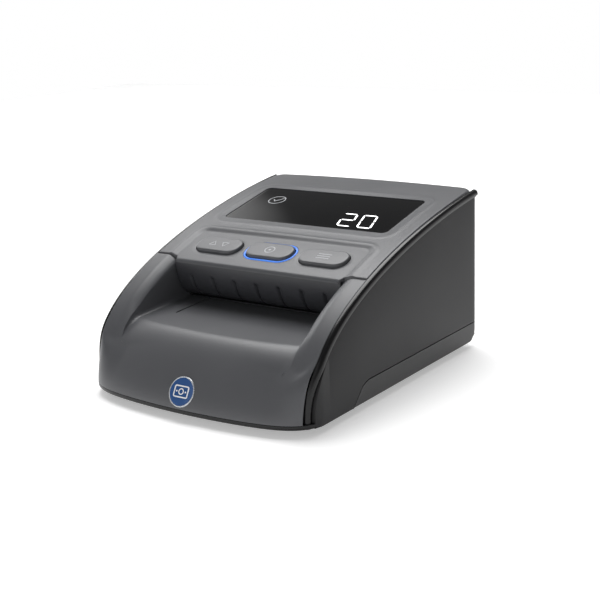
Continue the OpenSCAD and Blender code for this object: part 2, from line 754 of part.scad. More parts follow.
// Gear on the front drive shaft.
module front_shaft_gear() {
    color([0.88, 0.88, 0.84]) train_gear(0, shaft_r, 180 / gear_teeth);
}

// Gear on the rear drive shaft.
module rear_shaft_gear() {
    color([0.88, 0.88, 0.84]) train_gear(3, shaft_r, 0);
}

// Steel drive shaft at y.
module drive_shaft(y) {
    color([0.78, 0.78, 0.80]) rod_x(gear_x - gear_w - 0.5, plate_x + plate_t + 1, y, shaft_z, shaft_r);
}

module front_drive_shaft() { drive_shaft(front_shaft_y); }
module rear_drive_shaft() { drive_shaft(rear_shaft_y); }

// Three rubber tyres on a shaft of radius bore.
module rollers(y, z, r, bore) {
    color([0.09, 0.09, 0.10]) for (i = [-1 : 1]) difference() {
        rod_x(i * roller_pitch - roller_w / 2, i * roller_pitch + roller_w / 2, y, z, r);
        rod_x(i * roller_pitch - roller_w / 2 - 1, i * roller_pitch + roller_w / 2 + 1, y, z, bore);
        for (k = [-1, 1]) rotate_groove(i * roller_pitch + k * roller_w / 4, y, z, r);
    }
}

// Shallow groove round a tyre.
module rotate_groove(x, y, z, r) {
    difference() {
        rod_x(x - 0.4, x + 0.4, y, z, r + 1);
        rod_x(x - 0.5, x + 0.5, y, z, r - 0.5);
    }
}

module front_drive_rollers() { rollers(front_shaft_y, shaft_z, drive_r, shaft_r); }
module rear_drive_rollers() { rollers(rear_shaft_y, shaft_z, drive_r, shaft_r); }

// ---- Top unit ----

// Grey cover over the display and the keys, with the moving hinge knuckles.
module top_cover() {
    color([0.42, 0.42, 0.44]) difference() {
        union() {
            difference() {
                cover_block(0);
                cover_block(wall);
            }
            // walls round the display well
            on_cover(0, pane_y, wall + 3.4) linear_extrude(4) difference() {
                square([pane_w + 3, pane_l + 3], center = true);
                square([pane_w - 3, pane_l - 3], center = true);
            }
            for (s = [-1, 1]) {
                rod_x(s * hinge_x - knuckle_hl, s * hinge_x + knuckle_hl, hinge_y, hinge_z, barrel_r);
                span([s * hinge_x - knuckle_hl, hinge_y - barrel_r, hinge_z],
                    [s * hinge_x + knuckle_hl, hinge_y + barrel_r, hinge_z + barrel_r + 2]);
            }
            catch_tab();
        }
        rod_x(-hinge_x - 13, hinge_x + 13, hinge_y, hinge_z, pin_r + run_gap);
        // the skirts stop short of the seam, so that the cover swings clear of the bezel
        along_x(-half_w, half_w) polygon(concat(profile_pts(split_y + 4, split_y - lip - 1, wall + 0.2),
            [[split_y - lip - 1, 0], [split_y + 4, 0]]));
        on_cover(0, pane_y, pane_t + 0.9) linear_extrude(12) square([pane_w + 0.4, pane_l + 0.4], center = true);
        on_cover(0, pane_y, 12) linear_extrude(20) square([pane_w - 5, pane_l - 5], center = true);
        for (i = [-1 : 1]) on_cover(i * key_pitch, key_y, key_depth) linear_extrude(14)
            round_rect(key_w + 2 * key_clear(i), key_l + 2 * key_clear(i), key_l / 2 + key_clear(i) - 0.5);
    }
}

// Gap round key i: the middle key also has the light ring round it.
function key_clear(i) = i == 0 ? key_gap + 1.3 : key_gap;

// Solid that the cover is hollowed from, pulled in by inset.
module cover_block(inset) {
    low = skirt * (inset > 0 ? 2 : 1);
    intersection() {
        union() {
            along_x(-cover_hw + inset, cover_hw - inset) difference() {
                polygon(concat(crest_pts(rear_y - 0.2 - inset, split_y, inset), [[split_y, 0], [rear_y - 0.2 - inset, 0]]));
                if (inset == 0) polygon(concat([[rear_y - 4.9, -1], [rear_y - 4.9, rise(rear_y - 4.9) - low]],
                    profile_pts(rear_y - 4.9, split_y - 1, low), [[split_y - 1, -1]]));
            }
            if (inset == 0) along_x(-guide_hw + 0.5, guide_hw - 0.5) polygon(concat(profile_pts(split_y, split_y - lip, 0),
                [[split_y - lip, rise(split_y - lip) - wall], [split_y, rise(split_y) - wall]]));
        }
        crown(inset);
        linear_extrude(3 * body_h) plan(inset);
        // the cover ends over the hinge barrel
        translate([0, 0, 0]) union() {
            span([-half_w, nose_y, 0], [half_w, hinge_y - barrel_r - 0.6, 3 * body_h]);
            span([-half_w, nose_y, hinge_z + barrel_r + 0.4], [half_w, rear_y, 3 * body_h]);
        }
    }
}

// Large cylinder that crowns the cover across its width.
module crown(inset) {
    r = (half_w * half_w + crown_drop * crown_drop) / (2 * max(0.05, crown_drop));
    translate([0, 2 * body_l, body_h - inset - r]) rotate([90, 0, 0]) cylinder(h = 4 * body_l, r = r, $fn = 96);
}

// Tab on the left skirt that the release hook holds.
module catch_tab() {
    span([-cover_hw, latch_y - 4, latch_z() + 8], [-cover_hw + wall, latch_y + 4, rise(latch_y - 4) - 2]);
}

// Dark ribbed guide: the curved nose over the throat and the flat path plate.
module upper_guide() {
    lip_y = split_y - lip + 0.6;
    lip_z = rise(split_y - lip) - wall - 0.15;
    nose = [for (i = [0 : 10]) let (a = 90 * i / 10)
        [lip_y + (throat_y + 1 - lip_y) * (1 - cos(a)), upper_z + (lip_z - upper_z) * (1 - sin(a))]];
    color([0.23, 0.23, 0.25]) difference() {
        union() {
            along_x(-guide_hw, guide_hw) polygon(concat(nose, [[guide_rear(), upper_z], [guide_rear(), upper_z + 2],
                [throat_y + 3, upper_z + 2]], [for (p = backwards(nose)) [p[0] + 2.2, p[1] + (p[1] > upper_z + 2 ? 0 : 2)]]));
        }
        for (y = [front_shaft_y, rear_shaft_y], i = [-1 : 1])
            roller_window(i * roller_pitch, y, upper_z - 2);
        span([-guide_hw + 6, pane_slot_y() - 8.2, upper_z - 1], [guide_hw - 6, pane_slot_y() + 8.2, upper_z + 1.2]);
        span([-guide_hw + 8, pane_slot_y() - 6.5, upper_z - 1], [guide_hw - 8, pane_slot_y() + 6.5, upper_z + 3]);
        span([-5.2, head_y() - 3.2, upper_z - 1], [5.2, head_y() + 3.2, upper_z + 3]);
        // slanted grooves in the curved nose
        intersection() {
            for (i = [-4 : 3]) translate([(i + 0.5) * clear_w / 8, lip_y - 1, upper_z - 1])
                rotate([0, 8, 0]) translate([-0.35, 0, 0]) cube([0.7, throat_y - lip_y + 2, 40]);
            along_x(-clear_w, clear_w) polygon(concat([for (p = nose) [p[0] - 1, p[1] - 1]],
                [for (p = backwards(nose)) [p[0] + 0.5, p[1] + 0.5]]));
        }
    }
}

function guide_rear() = rear_y - 2 * wall - 2;
function head_y() = front_shaft_y + drive_r + 7;

// Legs that tie the guide to the cover.
module guide_posts() {
    color([0.23, 0.23, 0.25]) for (sx = [-1, 1], y = [pane_slot_y() - 12.5, rear_shaft_y + 14])
        translate([sx * (guide_hw - 4), y, upper_z + 2]) cylinder(h = rise(y - 3) - wall - 0.9 - upper_z - 2 - 1.2, r = 2.6);
}

// Clear pane over the upper light sensors.
module upper_sensor_window() {
    color([0.55, 0.65, 0.75]) span([-guide_hw + 6.2, pane_slot_y() - 8, upper_z + 0.05], [guide_hw - 6.2, pane_slot_y() + 8, upper_z + 1.2]);
}

// Circuit board with the image and light sensors over the upper pane.
module upper_sensor_board() {
    z = upper_z + 6;
    color([0.10, 0.35, 0.20]) {
        span([-guide_hw + 8, pane_slot_y() - 9, z], [guide_hw - 8, pane_slot_y() + 9, z + board_t]);
        for (i = [-4 : 4]) translate([i * 9, pane_slot_y(), z - 2.5]) cylinder(h = 2.5, r = 1.5);
        for (sx = [-1, 1]) translate([sx * (guide_hw - 12), pane_slot_y() + 7.8, upper_z + 2]) cylinder(h = 4, r = 0.9);
    }
}

// Magnetic ink head, set in the upper guide.
module magnetic_head() {
    color([0.68, 0.68, 0.70]) span([-5, head_y() - 3, upper_z + 0.1], [5, head_y() + 3, upper_z + 8]);
}

// Glossy black display pane.
module display_window() {
    color([0.02, 0.02, 0.025]) on_cover(0, pane_y, pane_t + 0.9) linear_extrude(pane_t)
        round_rect(pane_w, pane_l, 3);
}

// Soft gasket under the pane.
module display_gasket() {
    color([0.05, 0.05, 0.05]) on_cover(0, pane_y, pane_t + 1.7) linear_extrude(0.7) difference() {
        square([pane_w - 5.2, pane_l - 5.2], center = true);
        square([pane_w - 8, pane_l - 8], center = true);
    }
}

// Display module: a board with the digit blocks.
module display_module() {
    color([0.12, 0.12, 0.13]) on_cover(0, pane_y, pane_t + 5) {
        linear_extrude(board_t) square([pane_w - 8, pane_l - 8], center = true);
        for (x = [14, 28]) translate([x - 5.5, -10, board_t]) cube([11, 18, 1.4]);
        translate([-36, -2, board_t]) cube([14, 14, 1.2]);
    }
}

// Stadium outline of a key, grown by gap.
module key_outline(gap) {
    round_rect(key_w + 2 * gap, key_l + 2 * gap, key_l / 2 + gap - 0.5);
}

// One key: a cap through the cover, a flange under it and a plunger.
module key(i) {
    under = key_depth - 1.4;
    on_cover(i * key_pitch, key_y, 0) {
        translate([0, 0, -under + 1.2]) linear_extrude(key_proud + under - 1.2) key_outline(0);
        translate([0, 0, -under]) linear_extrude(1.3) key_outline(i == 0 ? 0 : 0.9);
        translate([0, 0, -under - 1.5]) cylinder(h = 1.6, r = 2);
    }
}

module left_key() { color([0.44, 0.44, 0.46]) key(-1); }
module centre_key() { color([0.44, 0.44, 0.46]) key(0); }
module right_key() { color([0.44, 0.44, 0.46]) key(1); }

// Blue light ring round the middle key.
module light_ring() {
    color([0.25, 0.50, 0.95]) on_cover(0, key_y, 1.2) linear_extrude(1.4) difference() {
        key_outline(key_gap + 1.2);
        key_outline(key_gap);
    }
}

// Key board with one switch under each key.
module keypad_board() {
    depth = key_depth + 0.1 + key_switch_gap;
    color([0.08, 0.30, 0.18]) on_cover(0, key_y, depth + 2.5 + board_t) {
        linear_extrude(board_t) square([2 * key_pitch + 12, key_l], center = true);
        for (i = [-1 : 1]) translate([i * key_pitch - 3, -3, board_t]) cube([6, 6, 2.5]);
    }
}

// Pressure roller shaft at y.
module press_shaft(y) {
    color([0.78, 0.78, 0.80]) rod_x(-guide_hw + 0.6, guide_hw - 0.6, y, press_z, press_shaft_r);
}

module front_press_shaft() { press_shaft(front_shaft_y); }
module rear_press_shaft() { press_shaft(rear_shaft_y); }
module front_press_rollers() { rollers(front_shaft_y, press_z, press_r, press_shaft_r); }
module rear_press_rollers() { rollers(rear_shaft_y, press_z, press_r, press_shaft_r); }

// Four blocks on the upper guide that the pressure shafts turn in.
module roller_blocks() {
    color([0.80, 0.80, 0.76]) for (s = [-1, 1], y = [front_shaft_y, rear_shaft_y]) difference() {
        span([s > 0 ? guide_hw - 4.2 : -guide_hw + 0.8, y - 4, upper_z + 2], [s > 0 ? guide_hw - 0.8 : -guide_hw + 4.2, y + 4, press_z + 4]);
        rod_x(s > 0 ? guide_hw - 5 : -guide_hw, s > 0 ? guide_hw : -guide_hw + 5, y, press_z, press_shaft_r + run_gap);
    }
}

// Two leaf springs that bridge the rollers and press on the blocks.
module pressure_springs() {
    z = press_z + press_r + 0.6;
    color([0.75, 0.76, 0.78]) for (y = [front_shaft_y, rear_shaft_y]) {
        span([-guide_hw + 0.8, y - 2.5, z], [guide_hw - 0.8, y + 2.5, z + 0.6]);
        for (s = [-1, 1])
            span([s > 0 ? guide_hw - 3 : -guide_hw + 2.4, y - 2.5, press_z + 4], [s > 0 ? guide_hw - 2.4 : -guide_hw + 3, y + 2.5, z]);
    }
}

// ---- Hinge pins and latch ----

// Two steel hinge pins.
module hinge_pins() {
    color([0.78, 0.78, 0.80]) for (s = [-1, 1])
        rod_x(s * hinge_x - 12.9, s * hinge_x + 12.9, hinge_y, hinge_z, pin_r);
}

// Release button in the left wall, with its hook.
module release_button() {
    z = latch_z();
    color([0.30, 0.30, 0.32]) {
        span([-half_w + 0.3, latch_y - 5, z - 3], [-half_w + trim_w + 1.2, latch_y + 5, z + 3]);
        span([-half_w + trim_w + 0.4, latch_y - 6.4, z - 4.4], [-half_w + trim_w + 1.6, latch_y + 6.4, z + 4.4]);
        span([-half_w + trim_w + 1.6, latch_y - 3, z - 3], [-half_w + trim_w + 3.4, latch_y + 3, z + 7.6]);
    }
}

// Return spring behind the release button.
module latch_spring() {
    x0 = -half_w + trim_w + 3.4;
    color([0.75, 0.76, 0.78]) rod_x(x0 + latch_travel + 0.3, x0 + latch_travel + 1.6, latch_y, latch_z() - 0.5, 2);
}

main_housing();
base_tray();
edge_trim();
front_bezel();
badge_disc();
badge_ring();
feed_tray();
lower_guide();
lower_sensor_window();
lower_sensor_board();
rubber_feet();
case_screws();
battery_pack();
battery_door();
main_board();
board_parts();
board_pillars();
io_board();
dc_inlet();
card_slot();
gear_chassis();
bearing_plate();
shaft_bushes();
idler_studs();
drive_motor();
motor_shaft();
motor_pinion();
idler_gear_a();
idler_gear_b();
front_shaft_gear();
rear_shaft_gear();
front_drive_shaft();
rear_drive_shaft();
front_drive_rollers();
rear_drive_rollers();
top_cover();
upper_guide();
guide_posts();
upper_sensor_window();
upper_sensor_board();
magnetic_head();
display_window();
display_gasket();
display_module();
left_key();
centre_key();
right_key();
light_ring();
keypad_board();
front_press_shaft();
rear_press_shaft();
front_press_rollers();
rear_press_rollers();
roller_blocks();
pressure_springs();
hinge_pins();
release_button();
latch_spring();
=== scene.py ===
"""Countertop banknote checker: moulded shells, keys, display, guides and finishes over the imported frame."""
from __future__ import annotations

import json
import logging
import math
from dataclasses import dataclass
from enum import Enum

import bmesh
import bpy
import numpy as np
from mathutils import Matrix, Vector

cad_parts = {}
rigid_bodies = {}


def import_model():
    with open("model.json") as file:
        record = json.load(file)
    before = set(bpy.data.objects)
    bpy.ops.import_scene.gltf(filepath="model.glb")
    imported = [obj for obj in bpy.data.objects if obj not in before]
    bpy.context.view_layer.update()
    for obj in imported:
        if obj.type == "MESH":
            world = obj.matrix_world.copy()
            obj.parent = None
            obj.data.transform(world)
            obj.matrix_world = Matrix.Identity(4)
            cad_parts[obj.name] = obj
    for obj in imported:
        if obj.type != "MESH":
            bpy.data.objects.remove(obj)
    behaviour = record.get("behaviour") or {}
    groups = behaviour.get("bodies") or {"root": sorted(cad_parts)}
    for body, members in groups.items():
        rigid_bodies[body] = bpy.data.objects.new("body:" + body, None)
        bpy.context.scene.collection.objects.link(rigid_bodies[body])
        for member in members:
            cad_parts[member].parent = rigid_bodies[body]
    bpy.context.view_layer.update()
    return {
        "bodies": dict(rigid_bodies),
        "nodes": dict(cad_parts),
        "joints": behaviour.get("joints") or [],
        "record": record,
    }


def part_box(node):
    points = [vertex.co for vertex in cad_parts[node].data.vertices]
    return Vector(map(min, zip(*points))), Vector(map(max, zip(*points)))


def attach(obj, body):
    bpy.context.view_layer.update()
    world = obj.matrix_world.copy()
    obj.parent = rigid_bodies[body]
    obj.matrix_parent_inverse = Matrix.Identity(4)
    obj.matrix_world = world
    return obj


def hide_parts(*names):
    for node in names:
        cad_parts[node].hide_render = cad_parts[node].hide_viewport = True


LOG = logging.getLogger("banknote_checker")
MM = 0.001
HINGE_X = 38.0
KNUCKLE_HALF = 7.0
KNUCKLE_GAP = 0.3
BARREL_R = 2.5
END_KNUCKLE = 8.0
BUTTON_Z = 45.0
CHIN_Z = 5.5
APRON_LEAN = 8.5
Array = np.ndarray


class Body(Enum):
    """The CAD bodies that new pieces ride on."""

    BASE = "base_unit"
    TOP = "top_unit"
    RELEASE = "release"


class Key(Enum):
    """The three keys: value is (CAD body, CAD node, place in the row)."""

    LEFT = ("key_left", "left_key", -1)
    CENTRE = ("key_centre", "centre_key", 0)
    RIGHT = ("key_right", "right_key", 1)


# ---- small maths ----


def smooth(lo: float, hi: float, v: Array | float) -> Array:
    """Cubic step from 0 at lo to 1 at hi: t*t*(3-2t) with t the clamped share of the way."""
    t = np.clip((np.asarray(v, float) - lo) / (hi - lo), 0, 1)
    return t * t * (3 - 2 * t)


def round_drop(d: Array, r: Array | float) -> Array:
    """How far a quarter-round of radius r falls at distance d from its edge: r - sqrt(r^2 - (r-d)^2)."""
    gap = np.clip(r - np.asarray(d, float), 0, r)
    return r - np.sqrt(np.maximum(np.square(r) - gap**2, 0))


def soft_min(a: Array, b: Array, k: float) -> Array:
    """Smaller of a and b with a parabola of width k where they cross."""
    h = np.maximum(k - np.abs(a - b), 0) / k
    return np.minimum(a, b) - h * h * k / 4


def box_distance(x: Array, y: Array, half: tuple[float, float], r: float) -> Array:
    """Signed distance to a rectangle of half sizes half with corners of radius r, negative inside."""
    qx, qy = np.abs(x) - half[0] + r, np.abs(y) - half[1] + r
    return np.hypot(np.maximum(qx, 0), np.maximum(qy, 0)) + np.minimum(np.maximum(qx, qy), 0) - r


def rounded_outline(w: float, l: float, r: float, n: int = 12) -> Array:
    """Closed outline of a w by l rectangle with corners of radius r, n points to a corner, anticlockwise."""
    a = np.linspace(0, np.pi / 2, n)
    arcs = [
        np.stack([cx * (w / 2 - r) + r * np.cos(a + turn), cy * (l / 2 - r) + r * np.sin(a + turn)], 1)
        for cx, cy, turn in ((1, 1, 0), (-1, 1, np.pi / 2), (-1, -1, np.pi), (1, -1, 1.5 * np.pi))
    ]
    return np.concatenate(arcs)


def circle(r: float, n: int = 48) -> Array:
    """Closed circle of radius r: (r cos a, r sin a)."""
    a = np.linspace(0, 2 * np.pi, n, endpoint=False)
    return np.stack([r * np.cos(a), r * np.sin(a)], 1)


def denser(outline: Array, n: int) -> Array:
    """The same closed outline with each side split evenly into n."""
    share = np.arange(n)[None, :, None] / n
    return (outline[:, None] + (np.roll(outline, -1, 0) - outline)[:, None] * share).reshape(-1, 2)


# ---- meshes ----


def grid_quads(
    rows: int, cols: int, start: int = 0, wrap_rows: bool = False, wrap_cols: bool = False
) -> Array:
    """Quads of a rows by cols grid of points: corner (i, j) joins (i, j+1), (i+1, j+1) and (i+1, j).

    Args:
        rows: number of point rows.
        cols: number of point columns.
        start: index of the grid's first point.
        wrap_rows: whether the last row joins the first.
        wrap_cols: whether the last column joins the first.

    Returns:
        An n by 4 array of point indices.
    """
    i = np.arange(rows if wrap_rows else rows - 1)[:, None]
    j = np.arange(cols if wrap_cols else cols - 1)[None, :]
    i2, j2 = (i + 1) % rows, (j + 1) % cols
    quads = np.stack([i * cols + j, i * cols + j2, i2 * cols + j2, i2 * cols + j], -1)
    return quads.reshape(-1, 4) + start


def build(name: str, points: Array, faces: list, sharp: float = 32.0) -> bpy.types.Object:
    """Makes one closed mesh object, welded, with outward normals and edges sharp past an angle.

    Args:
        name: name of the piece.
        points: n by 3 places in millimetres.
        faces: lists of point indices.
        sharp: angle in degrees past which an edge stays sharp.

    Returns:
        The new object at the origin.
    """
    mesh = bpy.data.meshes.new(name)
    places = (np.asarray(points, float).reshape(-1, 3) * MM).tolist()
    mesh.from_pydata(places, [], [list(map(int, f)) for f in faces])
    tidy(mesh, sharp)
    obj = bpy.data.objects.new(name, mesh)
    bpy.context.scene.collection.objects.link(obj)
    return obj


def tidy(mesh: bpy.types.Mesh, sharp: float) -> None:
    """Welds doubles, drops empty faces, turns faces outwards and marks sharp edges."""
    bm = bmesh.new()
    bm.from_mesh(mesh)
    bmesh.ops.remove_doubles(bm, verts=bm.verts, dist=0.002 * MM)
    bmesh.ops.dissolve_degenerate(bm, edges=bm.edges, dist=0.001 * MM)
    bmesh.ops.recalc_face_normals(bm, faces=bm.faces)
    bm.to_mesh(mesh)
    bm.free()
    mesh.shade_smooth()
    mesh.set_sharp_from_angle(angle=math.radians(sharp))


def loft(name: str, rings: Array, sharp: float = 32.0, closed: bool = False) -> bpy.types.Object:
    """A section carried along a path: rings[i, j] is section point j at path station i.

    Args:
        name: name of the piece.
        rings: stations by section points by 3, in millimetres.
        sharp: angle in degrees past which an edge stays sharp.
        closed: whether the path closes on itself, so that it has no end caps.

    Returns:
        The new object.
    """
    m, n = rings.shape[:2]
    faces = grid_quads(m, n, wrap_rows=closed, wrap_cols=True).tolist()
    if not closed:
        faces += [list(range(n)), list(range((m - 1) * n, m * n))]
    return build(name, rings, faces, sharp)


def shell(
    name: str, outer: Array, inner: Array, rims: list[Array], sharp: float = 32.0
) -> bpy.types.Object:
    """Two grids of the same shape joined round their edges through the given rings.

    Args:
        name: name of the piece.
        outer: rows by columns by 3 grid of the outside.
        inner: the same grid of the inside.
        rims: rings of boundary points that lead from the outer edge to the inner edge.
        sharp: angle in degrees past which an edge stays sharp.

    Returns:
        The new object.
    """
    rows, cols = outer.shape[:2]
    index = np.arange(rows * cols).reshape(rows, cols)
    edge = boundary(index)
    loops = [edge] + [2 * rows * cols + k * len(edge) + np.arange(len(edge)) for k in range(len(rims))]
    loops.append(edge + rows * cols)
    faces = grid_quads(rows, cols).tolist() + grid_quads(rows, cols, rows * cols)[:, ::-1].tolist()
    for a, b in zip(loops, loops[1:]):
        faces += np.stack([a, np.roll(a, -1), np.roll(b, -1), b], 1).tolist()
    points = np.concatenate([outer.reshape(-1, 3), inner.reshape(-1, 3)] + [r.reshape(-1, 3) for r in rims])
    return build(name, points, faces, sharp)


def hoop(name: str, rings: list[Array] | Array, sharp: float = 40.0) -> bpy.types.Object:
    """Rings joined one to the next and the last to the first, so that they close on themselves."""
    grid = np.stack(rings)
    rows, cols = grid.shape[:2]
    return build(name, grid, grid_quads(rows, cols, wrap_rows=True, wrap_cols=True).tolist(), sharp)


def boundary(grid: Array) -> Array:
    """The edge entries of a grid, once round: first row, last column, last row back, first column back."""
    return np.concatenate([grid[0, :-1], grid[:-1, -1], grid[-1, :0:-1], grid[:0:-1, 0]])


def place(outline: Array, z: Array | float, frame: Array) -> Array:
    """Puts outline points at height z through a 4 by 4 placing matrix."""
    flat = np.concatenate([outline, np.broadcast_to(np.reshape(z, (-1, 1)), (len(outline), 1))], 1)
    return flat @ frame[:3, :3].T + frame[:3, 3]


def moved(x: float, y: float, z: float = 0.0) -> Array:
    """Placing matrix that only moves to (x, y, z)."""
    made = np.eye(4)
    made[:3, 3] = (x, y, z)
    return made


def on_left(x: float, y: float = 0.0, z: float = 0.0) -> Array:
    """Placing matrix on the left side: local X runs to the rear, local Y up, local Z out to the left."""
    return np.array([[0, 0, -1, x], [1, 0, 0, y], [0, 1, 0, z], [0, 0, 0, 1]], float)


def on_rear(y: float) -> Array:
    """Placing matrix on the rear face: local X stays X, local Y is up, local Z points out to the rear."""
    return np.array([[1, 0, 0, 0], [0, 0, 1, y], [0, 1, 0, 0], [0, 0, 0, 1]], float)


def middle(node_name: str) -> Array:
    """Middle of a CAD node's box, in millimetres."""
    lo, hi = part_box(node_name)
    return (np.array(lo) + np.array(hi)) / (2 * MM)


def prism(
    name: str, outline: Array, z0: float, z1: float, frame: Array, ease: float = 0.0
) -> bpy.types.Object:
    """An outline drawn out from z0 to z1, its top rim eased by a quarter-round towards the middle.

    Args:
        name: name of the piece.
        outline: closed outline.
        z0: height of the bottom.
        z1: height of the top.
        frame: placing matrix.
        ease: radius of the top rim.

    Returns:
        The new object.
    """
    rings = [place(outline, z0, frame)]
    if ease > 0:
        size = np.abs(outline).max(0)
        for a in np.linspace(0, np.pi / 2, 7):
            shrink = 1 - ease * (1 - np.cos(a)) / size
            rings.append(place(outline * shrink, z1 - ease * (1 - np.sin(a)), frame))
    else:
        rings.append(place(outline, z1, frame))
    return loft(name, np.stack(rings))


def join(name: str, parts: list[bpy.types.Object]) -> bpy.types.Object:
    """Puts several meshes into one object; each part is closed and the parts may overlap."""
    bm = bmesh.new()
    for part in parts:
        bm.from_mesh(part.data)
    mesh = bpy.data.meshes.new(name)
    bm.to_mesh(mesh)
    bm.free()
    mesh.shade_smooth()
    mesh.set_sharp_from_angle(angle=math.radians(32))
    for part in parts:
        bpy.data.objects.remove(part)
    obj = bpy.data.objects.new(name, mesh)
    bpy.context.scene.collection.objects.link(obj)
    return obj


def carve(obj: bpy.types.Object, cutters: list[bpy.types.Object], sharp: float = 32.0) -> None:
    """Cuts closed cutters out of a closed piece and keeps the result as its mesh."""
    for cutter in cutters:
        mod = obj.modifiers.new("cut", "BOOLEAN")
        mod.operation = "DIFFERENCE"
        mod.solver = "EXACT"
        mod.object = cutter
    settle(obj, sharp)
    for cutter in cutters:
        bpy.data.objects.remove(cutter)


def settle(obj: bpy.types.Object, sharp: float = 32.0) -> None:
    """Makes what the modifiers show the object's own mesh."""
    bpy.context.view_layer.update()
    mesh = bpy.data.meshes.new_from_object(obj.evaluated_get(bpy.context.evaluated_depsgraph_get()))
    obj.modifiers.clear()
    obj.data = mesh
    mesh.shade_smooth()
    mesh.set_sharp_from_angle(angle=math.radians(sharp))


def ribbon(
    name: str, path: Array, width: float, z0: float, z1: float, frame: Array, closed: bool = False
) -> bpy.types.Object:
    """A flat stroke: a box section carried along a plane path, offset half its width to each side.

    Args:
        name: name of the piece.
        path: points of the middle line.
        width: width of the stroke.
        z0: bottom of the stroke.
        z1: top of the stroke.
        frame: placing matrix.
        closed: whether the path is a loop.

    Returns:
        The new object.
    """
    along = np.roll(path, -1, 0) - np.roll(path, 1, 0) if closed else np.gradient(path, axis=0)
    along /= np.linalg.norm(along, axis=1, keepdims=True)
    side = np.stack([-along[:, 1], along[:, 0]], 1) * width / 2
    corners = ((path + side, z0), (path - side, z0), (path - side, z1), (path + side, z1))
    return loft(name, np.stack([place(edge, z, frame) for edge, z in corners], 1), closed=closed)


def rod(name: str, x0: float, x1: float, y: float, z: float, r: float) -> bpy.types.Object:
    """A round bar along X whose ends are eased in two steps, by 0.4 and by 0.12."""
    ease, soft = 0.4, 0.12
    ends = [(0.0, r - ease), (soft, r - soft), (ease, r)]
    stations = [(x0 + d, rad) for d, rad in ends] + [(x1 - d, rad) for d, rad in ends[::-1]]
    sides = 40
    rings = [
        np.column_stack([np.full(sides, x), circle(rad, sides) + np.array([y, z])]) for x, rad in stations
    ]
    return loft(name, np.stack(rings))


# ---- shader sockets ----


class Sock:
    """A shader socket or a number that Python's operators work on; each operation adds one Math node."""

    def __init__(self, tree: bpy.types.NodeTree, value: bpy.types.NodeSocket | float) -> None:
        """Wraps value, a socket of tree or a plain number."""
        self.tree, self.value = tree, value

    def math(self, operation: str, *others: "Sock | float") -> "Sock":
        """Adds a Math node with this value first and the others after it."""
        values = [self.value] + [o.value if isinstance(o, Sock) else o for o in others]
        return node(self.tree, "ShaderNodeMath", {"operation": operation}, dict(enumerate(values)))[0]

    def __add__(self, o: "Sock | float") -> "Sock":
        """self + o."""
        return self.math("ADD", o)

    def __sub__(self, o: "Sock | float") -> "Sock":
        """self - o."""
        return self.math("SUBTRACT", o)

    def __mul__(self, o: "Sock | float") -> "Sock":
        """self * o."""
        return self.math("MULTIPLY", o)

    def __truediv__(self, o: "Sock | float") -> "Sock":
        """self / o."""
        return self.math("DIVIDE", o)

    __radd__, __rmul__ = __add__, __mul__

    def __rsub__(self, o: float) -> "Sock":
        """o - self."""
        return Sock(self.tree, o).math("SUBTRACT", self)

    def clamp(self, lo: float = 0.0, hi: float = 1.0) -> "Sock":
        """Kept between lo and hi."""
        return self.math("MAXIMUM", lo).math("MINIMUM", hi)


def node(tree: bpy.types.NodeTree, kind: str, settings: dict, inputs: dict) -> list[Sock]:
    """Adds a node: its settings first, then the values or links of its sockets.

    Args:
        tree: the node tree.
        kind: the node's type name.
        settings: attributes to set; "stops" fills a colour ramp.
        inputs: socket name or index to a number, tuple, Sock or socket.

    Returns:
        The node's outputs as Socks.
    """
    made = tree.nodes.new(kind)
    for key, value in settings.items():
        if key == "stops":
            ramp = made.color_ramp
            for element, (where, colour) in zip([ramp.elements[0], ramp.elements[1]], value[:2]):
                element.position, element.color = where, colour
            for where, colour in value[2:]:
                ramp.elements.new(where).color = colour
        else:
            setattr(made, key, value)
    for key, value in inputs.items():
        value = value.value if isinstance(value, Sock) else value
        if isinstance(value, bpy.types.NodeSocket):
            tree.links.new(value, made.inputs[key])
        else:
            made.inputs[key].default_value = value
    return [Sock(tree, out) for out in made.outputs]


